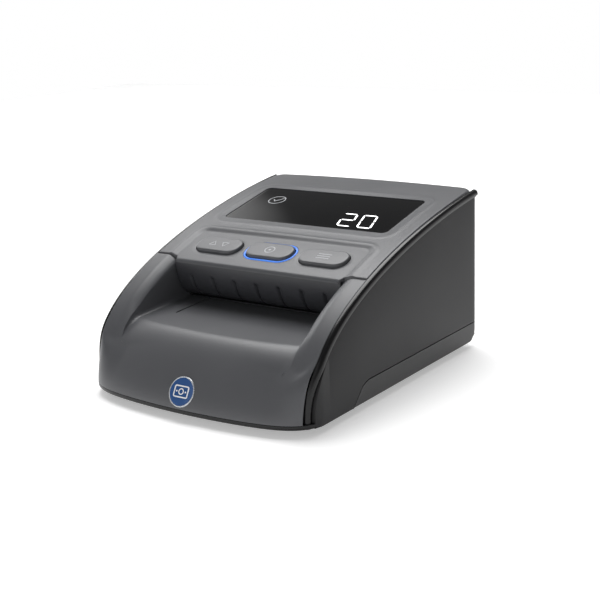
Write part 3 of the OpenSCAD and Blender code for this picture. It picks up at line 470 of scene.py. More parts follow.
@dataclass(frozen=True)
class Finish:
    """One surface finish: colour, gloss, mould grain and the slow shade changes across a moulding."""

    name: str
    colour: tuple[float, float, float]
    roughness: float = 0.5
    metallic: float = 0.0
    coat: float = 0.0
    specular: float = 0.5
    grain: float = 0.0
    grain_size: float = 0.35
    shade: float = 0.06
    brushed: float = 0.0
    glow: float = 0.0
    clear: float = 1.0

    def material(self) -> bpy.types.Material:
        """Builds the material once and returns it after that."""
        found = bpy.data.materials.get(self.name)
        return found if found else self.make()

    def make(self) -> bpy.types.Material:
        """Principled shader: base colour times slow noise, roughness with fine noise, grain as bump."""
        mat = bpy.data.materials.new(self.name)
        mat.use_nodes = True
        tree = mat.node_tree
        tree.nodes.clear()
        place_ = node(tree, "ShaderNodeTexCoord", {}, {})[3]
        stretch = (0.04, 1.0, 1.0) if self.brushed else (1.0, 1.0, 1.0)
        mapped = node(tree, "ShaderNodeMapping", {}, {"Vector": place_, "Scale": stretch})[0]
        slow = node(tree, "ShaderNodeTexNoise", {}, {"Vector": place_, "Scale": 38.0, "Detail": 3.0})[0]
        per_grain = 1.0 / (self.grain_size * MM)
        fine = node(
            tree, "ShaderNodeTexNoise", {}, {"Vector": mapped, "Scale": per_grain, "Detail": 4.0}
        )[0]
        pits = node(tree, "ShaderNodeTexVoronoi", {}, {"Vector": mapped, "Scale": 0.7 * per_grain})[0]
        tone = 1.0 + (slow - 0.5) * (2 * self.shade) + (fine - 0.5) * (self.shade * 1.2)
        tinted = node(
            tree, "ShaderNodeVectorMath", {"operation": "SCALE"}, {0: self.colour, "Scale": tone}
        )[0]
        rough = self.roughness + (fine - 0.5) * 0.12 + (slow - 0.5) * 0.08
        rough = (rough + (pits - 0.5) * (0.3 * self.brushed)).clamp(0.03, 1.0)
        inputs: dict = {
            "Base Color": tinted,
            "Roughness": rough,
            "Metallic": self.metallic,
            "Coat Weight": self.coat,
            "Specular IOR Level": self.specular,
            "Coat Roughness": 0.04,
            "Alpha": self.clear,
        }
        if self.glow > 0:
            inputs["Emission Color"] = (*self.colour, 1.0)
            inputs["Emission Strength"] = self.glow
        if self.grain > 0:
            height = fine * 0.6 + pits * 0.4
            bump = {"Strength": self.grain, "Distance": 0.08 * MM, "Height": height}
            inputs["Normal"] = node(tree, "ShaderNodeBump", {}, bump)[0]
        out = node(tree, "ShaderNodeBsdfPrincipled", {}, inputs)[0]
        node(tree, "ShaderNodeOutputMaterial", {}, {"Surface": out})
        return mat

    def dress(self, obj: bpy.types.Object) -> None:
        """Gives every face of obj this finish."""
        if not obj.data.materials:
            obj.data.materials.append(self.material())
        for index in range(len(obj.data.materials)):
            obj.data.materials[index] = self.material()


FINISHES: dict[str, Finish] = {
    "housing_grey": Finish("housing_spark_texture", (0.021, 0.021, 0.022), 0.46, specular=0.24, grain=0.5),
    "base_grey": Finish("base_spark_texture", (0.024, 0.024, 0.025), 0.5, grain=0.5),
    "trim_black": Finish("trim_satin_black", (0.005, 0.005, 0.0055), 0.24, specular=0.35, grain=0.04),
    "cover_grey": Finish("cover_spark_texture", (0.088, 0.090, 0.097), 0.38, grain=0.4),
    "key_grey": Finish("key_satin_grey", (0.092, 0.094, 0.101), 0.36, grain=0.22),
    "guide_grey": Finish("guide_dark_grey", (0.042, 0.043, 0.049), 0.4, grain=0.25),
    "tray_grey": Finish("tray_grey", (0.07, 0.071, 0.076), 0.42, grain=0.3),
    "badge_blue": Finish("badge_blue_enamel", (0.022, 0.085, 0.26), 0.22, coat=0.8),
    "badge_silver": Finish("badge_pale_ring", (0.62, 0.64, 0.67), 0.25, metallic=0.7),
    "window_clear": Finish("sensor_pane", (0.42, 0.5, 0.58), 0.06, coat=1.0, clear=0.55),
    "display_black": Finish("display_smoked_pane", (0.0025, 0.0025, 0.003), 0.1, specular=0.22, shade=0.0),
    "board_green": Finish("board_solder_mask", (0.012, 0.10, 0.045), 0.32, coat=0.3, shade=0.12),
    "part_black": Finish("component_black", (0.016, 0.016, 0.017), 0.45, grain=0.2),
    "rubber_black": Finish("rubber", (0.016, 0.016, 0.016), 0.78, grain=0.5),
    "screw_steel": Finish("zinc_plate", (0.58, 0.58, 0.6), 0.3, metallic=1.0, brushed=0.5),
    "sheet_steel": Finish("chassis_plate", (0.48, 0.48, 0.5), 0.38, metallic=1.0, brushed=1.0),
    "shaft_steel": Finish("ground_steel", (0.62, 0.62, 0.64), 0.22, metallic=1.0, brushed=0.6),
    "spring_steel": Finish("spring_steel", (0.5, 0.51, 0.53), 0.28, metallic=1.0, brushed=0.6),
    "bush_brass": Finish("brass", (0.72, 0.5, 0.2), 0.3, metallic=1.0, brushed=0.4),
    "gear_white": Finish("acetal_white", (0.76, 0.76, 0.71), 0.42, shade=0.03),
    "motor_can": Finish("motor_can", (0.56, 0.57, 0.59), 0.34, metallic=1.0, brushed=1.0),
    "cell_blue": Finish("cell_wrap", (0.025, 0.07, 0.19), 0.28, coat=0.5),
    "socket_black": Finish("socket_black", (0.012, 0.012, 0.013), 0.3, grain=0.1),
    "socket_steel": Finish("socket_shell", (0.56, 0.56, 0.58), 0.3, metallic=1.0, brushed=0.6),
    "light_blue": Finish("light_pipe_blue", (0.045, 0.2, 0.75), 0.35, glow=0.5, shade=0.0),
    "door_grey": Finish("door_spark_texture", (0.024, 0.024, 0.025), 0.5, grain=0.5),
    "button_grey": Finish("button_grey", (0.06, 0.06, 0.064), 0.4, grain=0.3),
    "print_white": Finish("key_print", (0.42, 0.43, 0.45), 0.5),
    "badge_print": Finish("badge_print", (0.86, 0.87, 0.89), 0.35),
    "digit_white": Finish("digit_light", (1.0, 1.0, 1.0), 0.5, glow=1.6, shade=0.0),
}


def finish_piece(
    obj: bpy.types.Object, slot: str, body: str, *replaced: str, finish: str = ""
) -> bpy.types.Object:
    """Dresses a new piece in its slot's finish or the given one, hides the nodes it stands for, and lets it
    ride on its body.

    Args:
        obj: the new piece.
        slot: the record's material slot.
        body: the CAD body.
        replaced: CAD nodes that it stands for.
        finish: finish to use where it isn't the slot's own.

    Returns:
        The same object.
    """
    FINISHES[finish or slot].dress(obj)
    if replaced:
        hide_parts(*replaced)
    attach(obj, body)
    LOG.info("%s: %d faces on %s", obj.name, len(obj.data.polygons), body)
    return obj


# ---- the body's form ----


@dataclass(frozen=True)
class BodyForm:
    """The outline and side profile that all the mouldings follow, in millimetres."""

    half_w: float
    rear_y: float
    nose_y: float
    top_z: float
    foot_z: float = 3.0
    nose_lead: float = 12.3
    crown_power: float = 1.27
    nose_power: float = 0.375
    crown_drop: float = 1.0
    nose_bow: float = 7.0
    nose_corner: float = 14.0
    rear_r: float = 7.0
    heel_r: float = 14.0
    split_y: float = -21.5
    throat_y: float = -14.0
    path_z: float = 36.0
    seam_rise: float = 10.0
    seam_ys: tuple[float, float, float] = (-39.7, -31.2, -26.0)

    @classmethod
    def from_frame(cls) -> "BodyForm":
        """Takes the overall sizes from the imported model's box."""
        lo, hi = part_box("main_housing")
        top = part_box("top_cover")[1].z / MM
        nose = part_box("edge_trim")[0].y / MM
        return cls(half_w=hi.x / MM, rear_y=hi.y / MM, nose_y=nose, top_z=top)

    @property
    def length(self) -> float:
        """Length of the side profile."""
        return self.rear_y - self.nose_y - self.nose_lead

    def rise(self, y: Array | float) -> Array:
        """Height of the side profile: foot + height * (1 - u^crown_power)^nose_power, u from the rear."""
        u = np.clip((self.rear_y - np.asarray(y, float)) / self.length, 0, 1)
        height = self.top_z - self.crown_drop - self.foot_z
        return self.foot_z + height * (1 - u**self.crown_power) ** self.nose_power

    def crest(self, x: Array | float, y: Array | float) -> Array:
        """Height of the cover: the profile plus a crown that grows to the rear and falls with x squared."""
        grow = np.clip((np.asarray(y, float) - self.split_y) / (self.rear_y - self.split_y), 0, 1)
        return self.rise(y) + self.crown_drop * grow * (1 - (np.asarray(x, float) / self.half_w) ** 2)

    def tilt(self, y: float) -> float:
        """Slope of the middle line at y, in radians."""
        return float(np.arctan(self.crest(0, y + 0.5) - self.crest(0, y - 0.5)))

    def on_cover(self, x: float, y: float) -> Array:
        """Placing matrix on the cover: local X stays X, local Z is the surface normal."""
        a = self.tilt(y)
        made = np.eye(4)
        made[:3, :3] = [[1, 0, 0], [0, math.cos(a), -math.sin(a)], [0, math.sin(a), math.cos(a)]]
        made[:3, 3] = (x, y, float(self.crest(0, y)))
        return made

    def nose_at(self, x: Array | float) -> Array:
        """Front edge in plan: a bow with s squared and rounded corners with s to the eighth."""
        s = np.clip(np.abs(x) / self.half_w, 0, 1)
        corner = 1 - np.sqrt(np.maximum(1 - s**8, 0))
        return self.nose_y + self.nose_bow * s**2 + self.nose_corner * corner

    def half_at(self, y: Array | float) -> Array:
        """Half width in plan: the inverse of nose_at at the front, a round corner at the rear."""
        xs = np.sin(np.linspace(0, np.pi / 2, 400)) * self.half_w
        front = np.interp(y, self.nose_at(xs), xs)
        gap = np.clip(np.asarray(y, float) - self.rear_y + self.rear_r, 0, self.rear_r)
        return np.minimum(front, self.half_w - self.rear_r + np.sqrt(self.rear_r**2 - gap**2))

    def side_curve(self, drop: float, n: int) -> Array:
        """The side profile from rear to nose as n evenly spaced (y, z), moved in along its normal by drop."""
        u = 1 - (1 - np.linspace(0, 1, 1200)) ** 4
        y = self.rear_y - self.length * u
        z = self.rise(y)
        along = np.hypot(np.diff(y), np.diff(z)).cumsum()
        s = np.concatenate([[0], along])
        even = np.linspace(0, s[-1], n)
        y, z = np.interp(even, s, y), np.interp(even, s, z)
        dy, dz = np.gradient(y), np.gradient(z)
        size = np.hypot(dy, dz)
        dy, dz = dy / size, dz / size
        return np.stack([y - dz * drop, z + dy * drop], 1)

    def seam_z(self, y: Array | float) -> Array:
        """Height of the seam between housing and base: level at the rear, then down to the underside."""
        seam = self.foot_z + self.seam_rise
        return np.interp(y, self.seam_ys, [self.foot_z, seam - 1.5, seam])

    def heel_y(self, z: Array | float) -> Array:
        """Rear limit at height z: a round heel of radius heel_r."""
        gap = np.clip(self.foot_z + self.heel_r - np.asarray(z, float), 0, self.heel_r)
        return self.rear_y - self.heel_r + np.sqrt(self.heel_r**2 - gap**2)


# ---- sub-assemblies ----


@dataclass
class Cover:
    """Grey top moulding: key panel, display frame, side and rear skirts, hinge knuckles."""

    form: BodyForm
    half: float = 61.3
    wall: float = 2.3
    corner: float = 6.6
    lip: float = 3.0
    lip_half: float = 48.7
    pane: tuple[float, float, float] = (97.0, 41.0, 36.0)
    key: tuple[float, float, float, float] = (26.0, 12.6, 31.0, -10.4)
    dish: float = 0.75
    dish_half: float = 52.2
    dish_rear: float = 3.6

    @property
    def rear(self) -> float:
        """Y of the rear face."""
        return self.form.rear_y - 0.2

    def over_lip(self, x: Array) -> Array:
        """1 over the lip, 0 over the pillars beside it."""
        return 1 - smooth(self.lip_half - 0.6, self.lip_half + 0.3, np.abs(x))

    def front_at(self, x: Array) -> Array:
        """Front edge: the lip between the pillars, the seam line beside it, with an S-curve between."""
        return self.form.split_y - self.lip * self.over_lip(x)

    def pane_plane(self, y: Array) -> Array:
        """Height of the plane that the display pane's face lies in."""
        y0 = self.pane[2]
        a = self.form.tilt(y0)
        return self.form.crest(0, y0) + (y - y0) * math.tan(a) - 0.9 / math.cos(a)

    def height(self, x: Array, y: Array) -> Array:
        """Cover height: the crest, a sunk key panel behind the lip, a rib behind it and a display frame."""
        z = self.form.crest(x, y)
        w, l, yc = self.pane
        cos_a = math.cos(self.form.tilt(yc))
        d = box_distance(x, y - yc, (w / 2 + 0.2, (l / 2 + 0.2) * cos_a), 3.2)
        frame = 1 - smooth(0.5, 3.8, d)
        z = z + (self.pane_plane(y) + 0.2 - z) * frame
        z = z + 0.16 * np.exp(-(((d - 4.6) / 1.1) ** 2))
        reach = 40.0
        d = box_distance(x, y - (self.dish_rear - reach), (self.dish_half, reach), 6.0)
        z = z - self.dish * (1 - smooth(-2.4, 0.2, d))
        z = z + 0.28 * np.exp(-(((d - 1.1) / 1.2) ** 2))
        kw, kl, pitch, ky = self.key
        for i in (-1, 0, 1):
            flat_y = (y - ky) / math.cos(self.form.tilt(ky))
            dk = box_distance(x - i * pitch, flat_y, (kw / 2, kl / 2), kl / 2 - 0.5)
            z = z - 0.22 * (1 - smooth(0.3, 1.9, dk))
        return z

    def grid(self) -> tuple[Array, Array]:
        """Plan grid: columns crowd at the sides, rows crowd at the edges, corners follow the rounded plan."""
        near = np.array([0, 0.03, 0.1, 0.22, 0.38, 0.58, 0.8, 1.1, 1.6])
        even = np.linspace(-self.half + 2.3, self.half - 2.3, 148)
        xs = np.concatenate([-self.half + near, even, self.half - near[::-1]])
        arc = self.corner * (1 - np.sin(np.linspace(np.pi / 2, 0, 14)))
        rear_part = self.rear - np.concatenate([np.linspace(0, arc[1], 4)[:-1], arc[1:]])
        middle_part = [
            np.linspace(self.rear - self.corner - 1, 60, 14),
            np.linspace(59.2, 12, 50),
            np.linspace(11.2, -20, 66)
        ]
        front_part = self.form.split_y + np.array([1.1, 0.8, 0.55, 0.35, 0.18, 0.07, 0.0])
        rows = np.concatenate([rear_part, *middle_part, front_part])
        x, y = np.meshgrid(xs, rows)
        gap = np.clip(self.corner - (self.rear - y), 0, self.corner)
        half = self.half - self.corner + np.sqrt(self.corner**2 - gap**2)
        x = x * half / self.half
        share = smooth(-6.0, self.form.split_y, y)
        return x, y + (self.front_at(x) - self.form.split_y) * share

    def edge_distance(self, x: Array, y: Array) -> tuple[Array, Array]:
        """Distances to the side-and-rear outline and to the front edge."""
        reach = 200.0
        sides = -box_distance(x, y - (self.rear - reach), (self.half, reach), self.corner)
        return sides, y - self.front_at(x)

    def skin(self) -> bpy.types.Object:
        """Outer grid at the height less its rounded edges, inner grid a wall below, skirts between."""
        x, y = self.grid()
        sides, ahead = self.edge_distance(x, y)
        z = self.height(x, y)
        r_side = 0.8 + 1.6 * smooth(60, 80, y)
        r_front = 0.35 + 1.0 * (1 - smooth(self.lip_half - 1, self.lip_half + 0.5, np.abs(x)))
        z = z - round_drop(np.maximum(sides, 0), r_side) - round_drop(np.maximum(ahead, 0), r_front)
        outer = np.stack([x, y, z], -1)
        xi = x * (1 - self.wall / self.half)
        yf = self.front_at(x)
        yi = yf + 1.6 + (y - yf) * (1 - (1.6 + self.wall) / (self.rear - yf))
        on_lip = self.over_lip(x) * (1 - smooth(self.form.split_y - 0.5, self.form.split_y + 3, y))
        thick = self.wall - 1.2 * on_lip
        zi = self.height(xi, yi) - thick
        lowest = self.height(x, y) - thick
        inner = np.stack([xi, yi, np.minimum(zi, lowest)], -1)
        depth = 2.5 + 8.2 * smooth(self.form.split_y + 3.6, self.form.split_y + 5.0, y)
        low = self.form.crest(x, y) - depth + 1.25 * on_lip
        back = smooth(76.2, 78.4, y)
        low = low + (64.2 - low) * back
        low = np.minimum(low, np.minimum(outer[..., 2], inner[..., 2]) - 0.05)
        o, i, b = boundary(outer), boundary(inner), boundary(low[..., None])[:, 0]
        rims = [
            np.column_stack([o[:, :2], b + 0.3]),
            np.column_stack([o[:, :2] + (i[:, :2] - o[:, :2]) * 0.12, b]),
            np.column_stack([i[:, :2], b]),
        ]
        return shell("cover_moulding", outer, inner, rims, 40)

    def cutters(self) -> list[bpy.types.Object]:
        """The display well and the three key wells."""
        w, l, yc = self.pane
        made = [prism("well", rounded_outline(w + 0.4, l + 0.4, 3.1), -8, 6, self.form.on_cover(0, yc))]
        kw, kl, pitch, ky = self.key
        for i in (-1, 0, 1):
            gap = 1.65 if i == 0 else 0.42
            outline = rounded_outline(kw + 2 * gap, kl + 2 * gap, kl / 2 + gap - 0.5, 16)
            made.append(prism(f"key_well_{i}", outline, -12, 6, self.form.on_cover(i * pitch, ky)))
        return made

    def make(self) -> None:
        """Builds the moulding and its knuckles."""
        skin = self.skin()
        carve(skin, self.cutters(), 40)
        _, y, z = middle("hinge_pins")
        tab = rounded_outline(13.4, 4.4, 0.6, 4)
        hinge = []
        for x in (-HINGE_X, HINGE_X):
            hinge.append(rod("knuckle", x - KNUCKLE_HALF, x + KNUCKLE_HALF, y, z, BARREL_R))
            hinge.append(prism("tab", tab, z, z + 7, moved(x, y - 0.1)))
        finish_piece(join("cover", [skin, *hinge]), "cover_grey", Body.TOP.value, "top_cover")


@dataclass
class Bezel:
    """Grey front moulding: pillars, tray with its brow, and the apron that rolls down to the nose."""

    form: BodyForm
    inner: float = 49.1
    outer: float = 61.42
    shoulder: float = 4.9
    shoulder_drop: float = 3.0
    apron_top: float = 21.6
    corner_y: float = -62.5
    corner_r: float = 2.5
    profile_y: float = -71.0
    roll: float = 3.0
    wall: float = 2.0
    slit_x: float = -36.0
    front_y: float = -72.5
    keep: float = 50.0
    cove_r: float = 2.4
    tray_fall: float = 0.045
    brow_lead: float = 26.0
    tray_foot_z: float = 20.4

    def columns(self) -> Array:
        """Columns across the front: even over the tray, crowded at its wall, shoulder and outer edge."""
        fillet = np.array([45.6, 46.3, 47.1, 47.6, 48.0, 48.35, 48.65, 48.88, 49.02, self.inner])
        wall = np.array([49.13, 49.17, 49.2])
        top = np.concatenate(
            [[49.22, 49.27, 49.36, 49.5, 49.7, 49.95, 50.3, 50.7, 51.2, 51.7, 52.3, 52.9, 53.5],
             [54.4, 55.6, 57, 58.4, 59.6]]
        )
        edge = self.outer - np.array([1.0, 0.7, 0.45, 0.28, 0.14, 0.05, 0.0])
        right = np.concatenate([fillet, wall, top, edge])
        slit = self.slit_x + np.array([-0.66, -0.55, -0.45, 0.45, 0.55, 0.66])
        middle = np.linspace(-44.8, 44.8, 76)
        middle = np.sort(np.concatenate([middle[np.abs(middle - self.slit_x) > 0.8], slit]))
        return np.concatenate([-right[::-1], middle, right])

    def tray(self, y: Array, y0: Array, lean: Array) -> Array:
        """Tray floor: nearly level to the brow, then down by the share past it to the power 1.7.

        Args:
            y: places along the body.
            y0: the nose line of each column, which the brow follows.
            lean: depth of the apron in each column; the foot lies where the apron reaches its height.

        Returns:
            Heights, level again in front of the foot.
        """
        f = self.form
        brow_y, foot_y = y0 + self.brow_lead, y0 + 0.88 * lean
        high = f.path_z - 0.2 - self.tray_fall * (f.throat_y - brow_y)
        past = np.clip((brow_y - y) / (brow_y - foot_y), 0, 1)
        level = f.path_z - 0.2 - self.tray_fall * (f.throat_y - np.maximum(y, brow_y))
        return level - (high - self.tray_foot_z) * past**1.7

    def side_half(self, y: Array) -> Array:
        """Half width at y: narrows a little where the plan rounds at the nose."""
        return self.outer - 1.9 * smooth(-62, self.front_y, y)

    def spread(self, at: Array, half: Array) -> Array:
        """Column distance from the middle, squeezed past the tray so that the outer edge lies at half."""
        keep = self.keep
        return np.where(at > keep, keep + (at - keep) * (half - keep) / (self.outer - keep), at)

    def surface(self) -> Array:
        """The grid of the outside.

        Columns run across, rows run from the chin up the apron, over its roll and back over the tray or up
        the pillars. A row's y is the nose line plus a share of the depth, cubic at first, and its height is
        the smaller of the apron's height and the tray or pillar height, with a parabola where they cross.
        """
        f = self.form
        s = self.columns()[None, :]
        turn_t, steep = 0.3, 0.62
        t = np.concatenate([np.linspace(0, turn_t, 34)[:-1], np.linspace(turn_t, 1, 62)])[:, None]
        at = np.abs(s)
        y0 = f.nose_at(self.spread(at, self.side_half(np.array(self.front_y))))
        wall_share = np.clip((at - self.inner) / 0.12, 0, 1)
        y1 = (f.throat_y - 0.25) * (1 - wall_share) + (f.split_y - 0.4) * wall_share
        knee = steep * turn_t
        share = np.where(t < turn_t, steep * t**3 / turn_t**2, knee + (1 - knee) * (t - turn_t) / (1 - turn_t))
        y = y0 + (y1 - y0) * share
        # across: the outer edge follows the plan, the tray's front corners are rounded
        past = np.clip((self.corner_y - y) / (2 * self.corner_r), 0, 1)
        shift = self.corner_r * (1 - np.sqrt(1 - past**2)) * smooth(0, 9, y - y0)
        near_side = smooth(15, 47.5, at) * np.clip((61.0 - at) / 11.5, 0, 1)
        x = self.spread(at, self.side_half(y)) - shift * near_side
        # heights
        lean = APRON_LEAN - 5.0 * smooth(44, 60, at)
        tray = self.tray(y, y0, lean)
        ahead = np.maximum(self.profile_y - y0, 0) * (1 - smooth(0, 12, y - y0))
        over = np.maximum(f.rise(y) - 0.15 - tray, 0)
        lifted = tray + over * smooth(0, 2.5, over)
        pillar = lifted + (f.rise(y + ahead) - 0.15 - lifted) * smooth(50.5, 60.5, at)
        turn = np.clip((self.inner + 0.12 + self.shoulder - at) / self.shoulder, 0, 1)
        fall = self.shoulder_drop * (0.8 * turn**1.25 + 0.2 * turn**6) * smooth(0, 9, over)
        cove = round_drop(np.maximum(self.inner - at, 0), self.cove_r) * smooth(0.5, 8, over)
        z = (tray + cove) * (1 - wall_share) + (pillar - fall) * wall_share
        rise_share = np.clip((y - y0) / lean, 0, None) ** (1 / 1.5)
        apron = CHIN_Z + (self.apron_top - CHIN_Z) * rise_share
        z = soft_min(apron, z, 0.2 + self.roll * smooth(49.5, 55, at))
        z = z + (CHIN_Z - z[0:1]) * np.clip(1 - t / 0.05, 0, 1)
        z = z - round_drop(self.outer - at + 0 * y, 0.35)
        z = z - round_drop(np.maximum(y1 - y, 0), 0.4) * wall_share
        slot = (np.abs(s - self.slit_x) < 0.5) & (y > -39.5)
        z = z - np.where(slot, 0.9, 0)
        return np.stack([np.sign(s) * x, y + 0 * s, z], -1)

    def make(self) -> None:
        """Builds the moulding as a shell a wall thick."""
        pts = self.surface()
        rows, cols = pts.shape[:2]
        obj = build("front_bezel_skin", pts, grid_quads(rows, cols).tolist(), 40)
        flip_up(obj)
        solid = obj.modifiers.new("wall", "SOLIDIFY")
        solid.thickness = self.wall * MM
        solid.offset = -1
        settle(obj, 40)
        obj.name = "front_moulding"
        finish_piece(obj, "cover_grey", Body.BASE.value, "front_bezel", "feed_tray")


def flip_up(obj: bpy.types.Object) -> None:
    """Turns an open sheet's faces so that the face nearest its middle points up."""
    mesh = obj.data
    normals = np.empty(len(mesh.polygons) * 3)
    mesh.polygons.foreach_get("normal", normals)
    if normals.reshape(-1, 3)[:, 2].sum() < 0:
        mesh.flip_normals()


@dataclass
class Band:
    """Glossy black band: along both top edges, down the nose corners and under the apron."""

    form: BodyForm
    width: float = 2.45
    depth: float = 2.5
    sunk: float = 0.3
    beside_cover: float = 61.5
    rear_stop: float = 2.0

    def side(self, sign: int) -> bpy.types.Object:
        """One side: a quarter-round section carried along the side profile."""
        f = self.form
        n = 150
        core = f.side_curve(self.sunk + self.depth, n)
        skin = f.side_curve(self.sunk, n)
        out = f.half_at(skin[:, 0]) - 0.02
        a = np.linspace(0, np.pi / 2, 9)
        inner_x = out - self.width
        inner_x = np.where(skin[:, 0] > 0, np.maximum(inner_x, self.beside_cover), inner_x)
        x = inner_x[:, None] + self.width * np.cos(a)[None, :] ** 0.8
        share = np.sin(a)[None, :] ** 0.8
        y = core[:, :1] + (skin[:, :1] - core[:, :1]) * share
        z = core[:, 1:] + (skin[:, 1:] - core[:, 1:]) * share
        low = f.side_curve(self.sunk + self.depth + 1.6, n)
        x = np.concatenate([x, inner_x[:, None], out[:, None] - 0.25], 1)
        y = np.concatenate([y, low[:, :1], low[:, :1]], 1)
        z = np.concatenate([z, low[:, 1:], low[:, 1:]], 1)
        y = np.minimum(y, f.rear_y - self.rear_stop)
        z = np.maximum(z, f.foot_z)
        return loft(f"band_{sign}", np.stack([sign * x, y, z], -1), 50)

    def lip(self) -> bpy.types.Object:
        """Under the apron: a rounded section carried round the nose in plan."""
        f = self.form
        a = np.linspace(-1, 1, 90)
        xs = np.sin(a * np.pi / 2) * (f.half_w - 0.05)
        keep = f.nose_at(xs) < -66
        xs = xs[keep]
        path = np.stack([xs, f.nose_at(xs)], 1)
        along = np.gradient(path, axis=0)
        along /= np.linalg.norm(along, axis=1, keepdims=True)
        inward = np.stack([-along[:, 1], along[:, 0]], 1)
        section = np.array(
            [[0.35, 5.45], [0.12, 5.3], [0.02, 5.0], [0.0, 4.4], [0.15, 3.75], [0.5, 3.3], [1.0, 3.05],
             [1.7, 3.0], [2.6, 3.0], [2.6, 5.45]]
        )
        xy = path[:, None, :] + inward[:, None, :] * section[None, :, :1]
        z = np.broadcast_to(section[None, :, 1], xy.shape[:2])
        return loft("nose_lip", np.concatenate([xy, z[..., None]], -1), 50)

    def make(self) -> None:
        """Builds the band in one piece."""
        band = join("edge_band", [self.side(-1), self.side(1), self.lip()])
        finish_piece(band, "trim_black", Body.BASE.value, "edge_trim")


@dataclass
class Housing:
    """Dark side walls and rear wall, carried as one section round the plan."""

    form: BodyForm
    wall: float = 2.3
    gap: float = 3.35
    split_z: float = 61.0
    ease: float = 0.35
    seam_gap: float = 0.15
    port_z: float = 24.0

    def path(self) -> tuple[Array, Array, Array, Array]:
        """Stations from the left front, round the rear, to the right front.

        Returns:
            Places in plan, outward directions, bottoms and tops.
        """
        f = self.form
        edge = f.side_curve(self.gap, 160)
        seam = f.seam_z(0) + self.seam_gap

        def crown(y: Array) -> Array:
            """Top of a side wall at y."""
            return np.interp(y, edge[::-1, 0], edge[::-1, 1])

        def stations(x: Array, y: Array, out_x: Array, out_y: Array, low: Array, top: Array) -> Array:
            """Rows of place, outward direction, bottom and top."""
            return np.column_stack(np.broadcast_arrays(x, y, out_x, out_y, low, top))

        y_front = edge[edge[:, 1] > f.foot_z + 0.6, 0].min()
        y_side = y_front + (f.rear_y - f.rear_r - y_front) * np.linspace(0, 1, 110) ** 1.6
        left = stations(-f.half_at(y_side), y_side, -1, 0, f.seam_z(y_side) + self.seam_gap, crown(y_side))
        turn = np.linspace(np.pi, np.pi / 2, 15)[1:]
        cx, cy = -f.half_w + f.rear_r, f.rear_y - f.rear_r
        ax, ay = cx + f.rear_r * np.cos(turn), cy + f.rear_r * np.sin(turn)
        beside = ax < -f.half_w + self.wall
        arc_top = np.where(beside, crown(np.minimum(ay, edge[0, 0])), self.split_z)
        arc = stations(ax, ay, np.cos(turn), np.sin(turn), seam, arc_top)
        step = int(np.argmax(arc_top == self.split_z))
        twin = arc[step].copy()
        twin[5] = arc[step - 1, 5]
        arc = np.insert(arc, step, twin, 0)
        rear = stations(np.linspace(cx, 0, 14)[1:], f.rear_y, 0, 1, seam, self.split_z)
        half = np.concatenate([left, arc, rear])
        whole = np.concatenate([half, half[-2::-1] * np.array([-1, 1, -1, 1, 1, 1])])
        return whole[:, :2], whole[:, 2:4], whole[:, 4], whole[:, 5]

    def walls(self) -> bpy.types.Object:
        """The section: a wall with eased edges and extra points where the heel rounds it."""
        xy, out, low, high = self.path()
        e = self.ease
        inset = np.array([self.wall, e, e * 0.3, 0, 0, 0, 0, 0, e * 0.3, e, self.wall])
        lift = np.array([0, 0, e * 0.3, e, 1.2, 2.6, 4.2])
        drop = np.array([e, e * 0.3, 0, 0])
        rise = np.minimum(lift[None, :], (high - low)[:, None] * 0.5)
        z = np.concatenate([low[:, None] + rise, high[:, None] - drop[None, :]], 1)
        p = xy[:, None, :] - out[:, None, :] * inset[None, :, None]
        y = np.minimum(p[..., 1], self.form.heel_y(z) - inset[None, :] * 0.6)
        return loft("housing_walls", np.stack([p[..., 0], y, z], -1), 40)

    def make(self) -> None:
        """Builds the walls, cuts the openings and adds the fixed knuckles."""
        f = self.form
        walls = self.walls()
        slot_w = 2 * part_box("lower_guide")[1].x / MM
        rear, side = on_rear(f.rear_y), on_left(-f.half_w)
        openings = [
            (rounded_outline(slot_w, 8.4, 1.2, 5), (0, f.path_z + 2.3), -12, rear),
            (circle(4.6), (middle("dc_inlet")[0], self.port_z), -12, rear),
            (rounded_outline(14.4, 3.4, 0.5, 4), (middle("card_slot")[0], self.port_z), -12, rear),
            (rounded_outline(10.8, 6.8, 1.4, 6), (middle("release_button")[1], BUTTON_Z), -6, side),
        ]
        cuts = [prism("opening", shape + np.array(at), low, 3, frame) for shape, at, low, frame in openings]
        carve(walls, cuts, 40)
        _, y, z = middle("hinge_pins")
        near, far = HINGE_X - KNUCKLE_HALF - KNUCKLE_GAP, HINGE_X + KNUCKLE_HALF + KNUCKLE_GAP
        spans = ((-near, near), (far, far + END_KNUCKLE), (-far - END_KNUCKLE, -far))
        bars = [rod("knuckle", x0, x1, y, z, BARREL_R) for x0, x1 in spans]
        finish_piece(join("housing", [walls, *bars]), "housing_grey", Body.BASE.value, "main_housing")


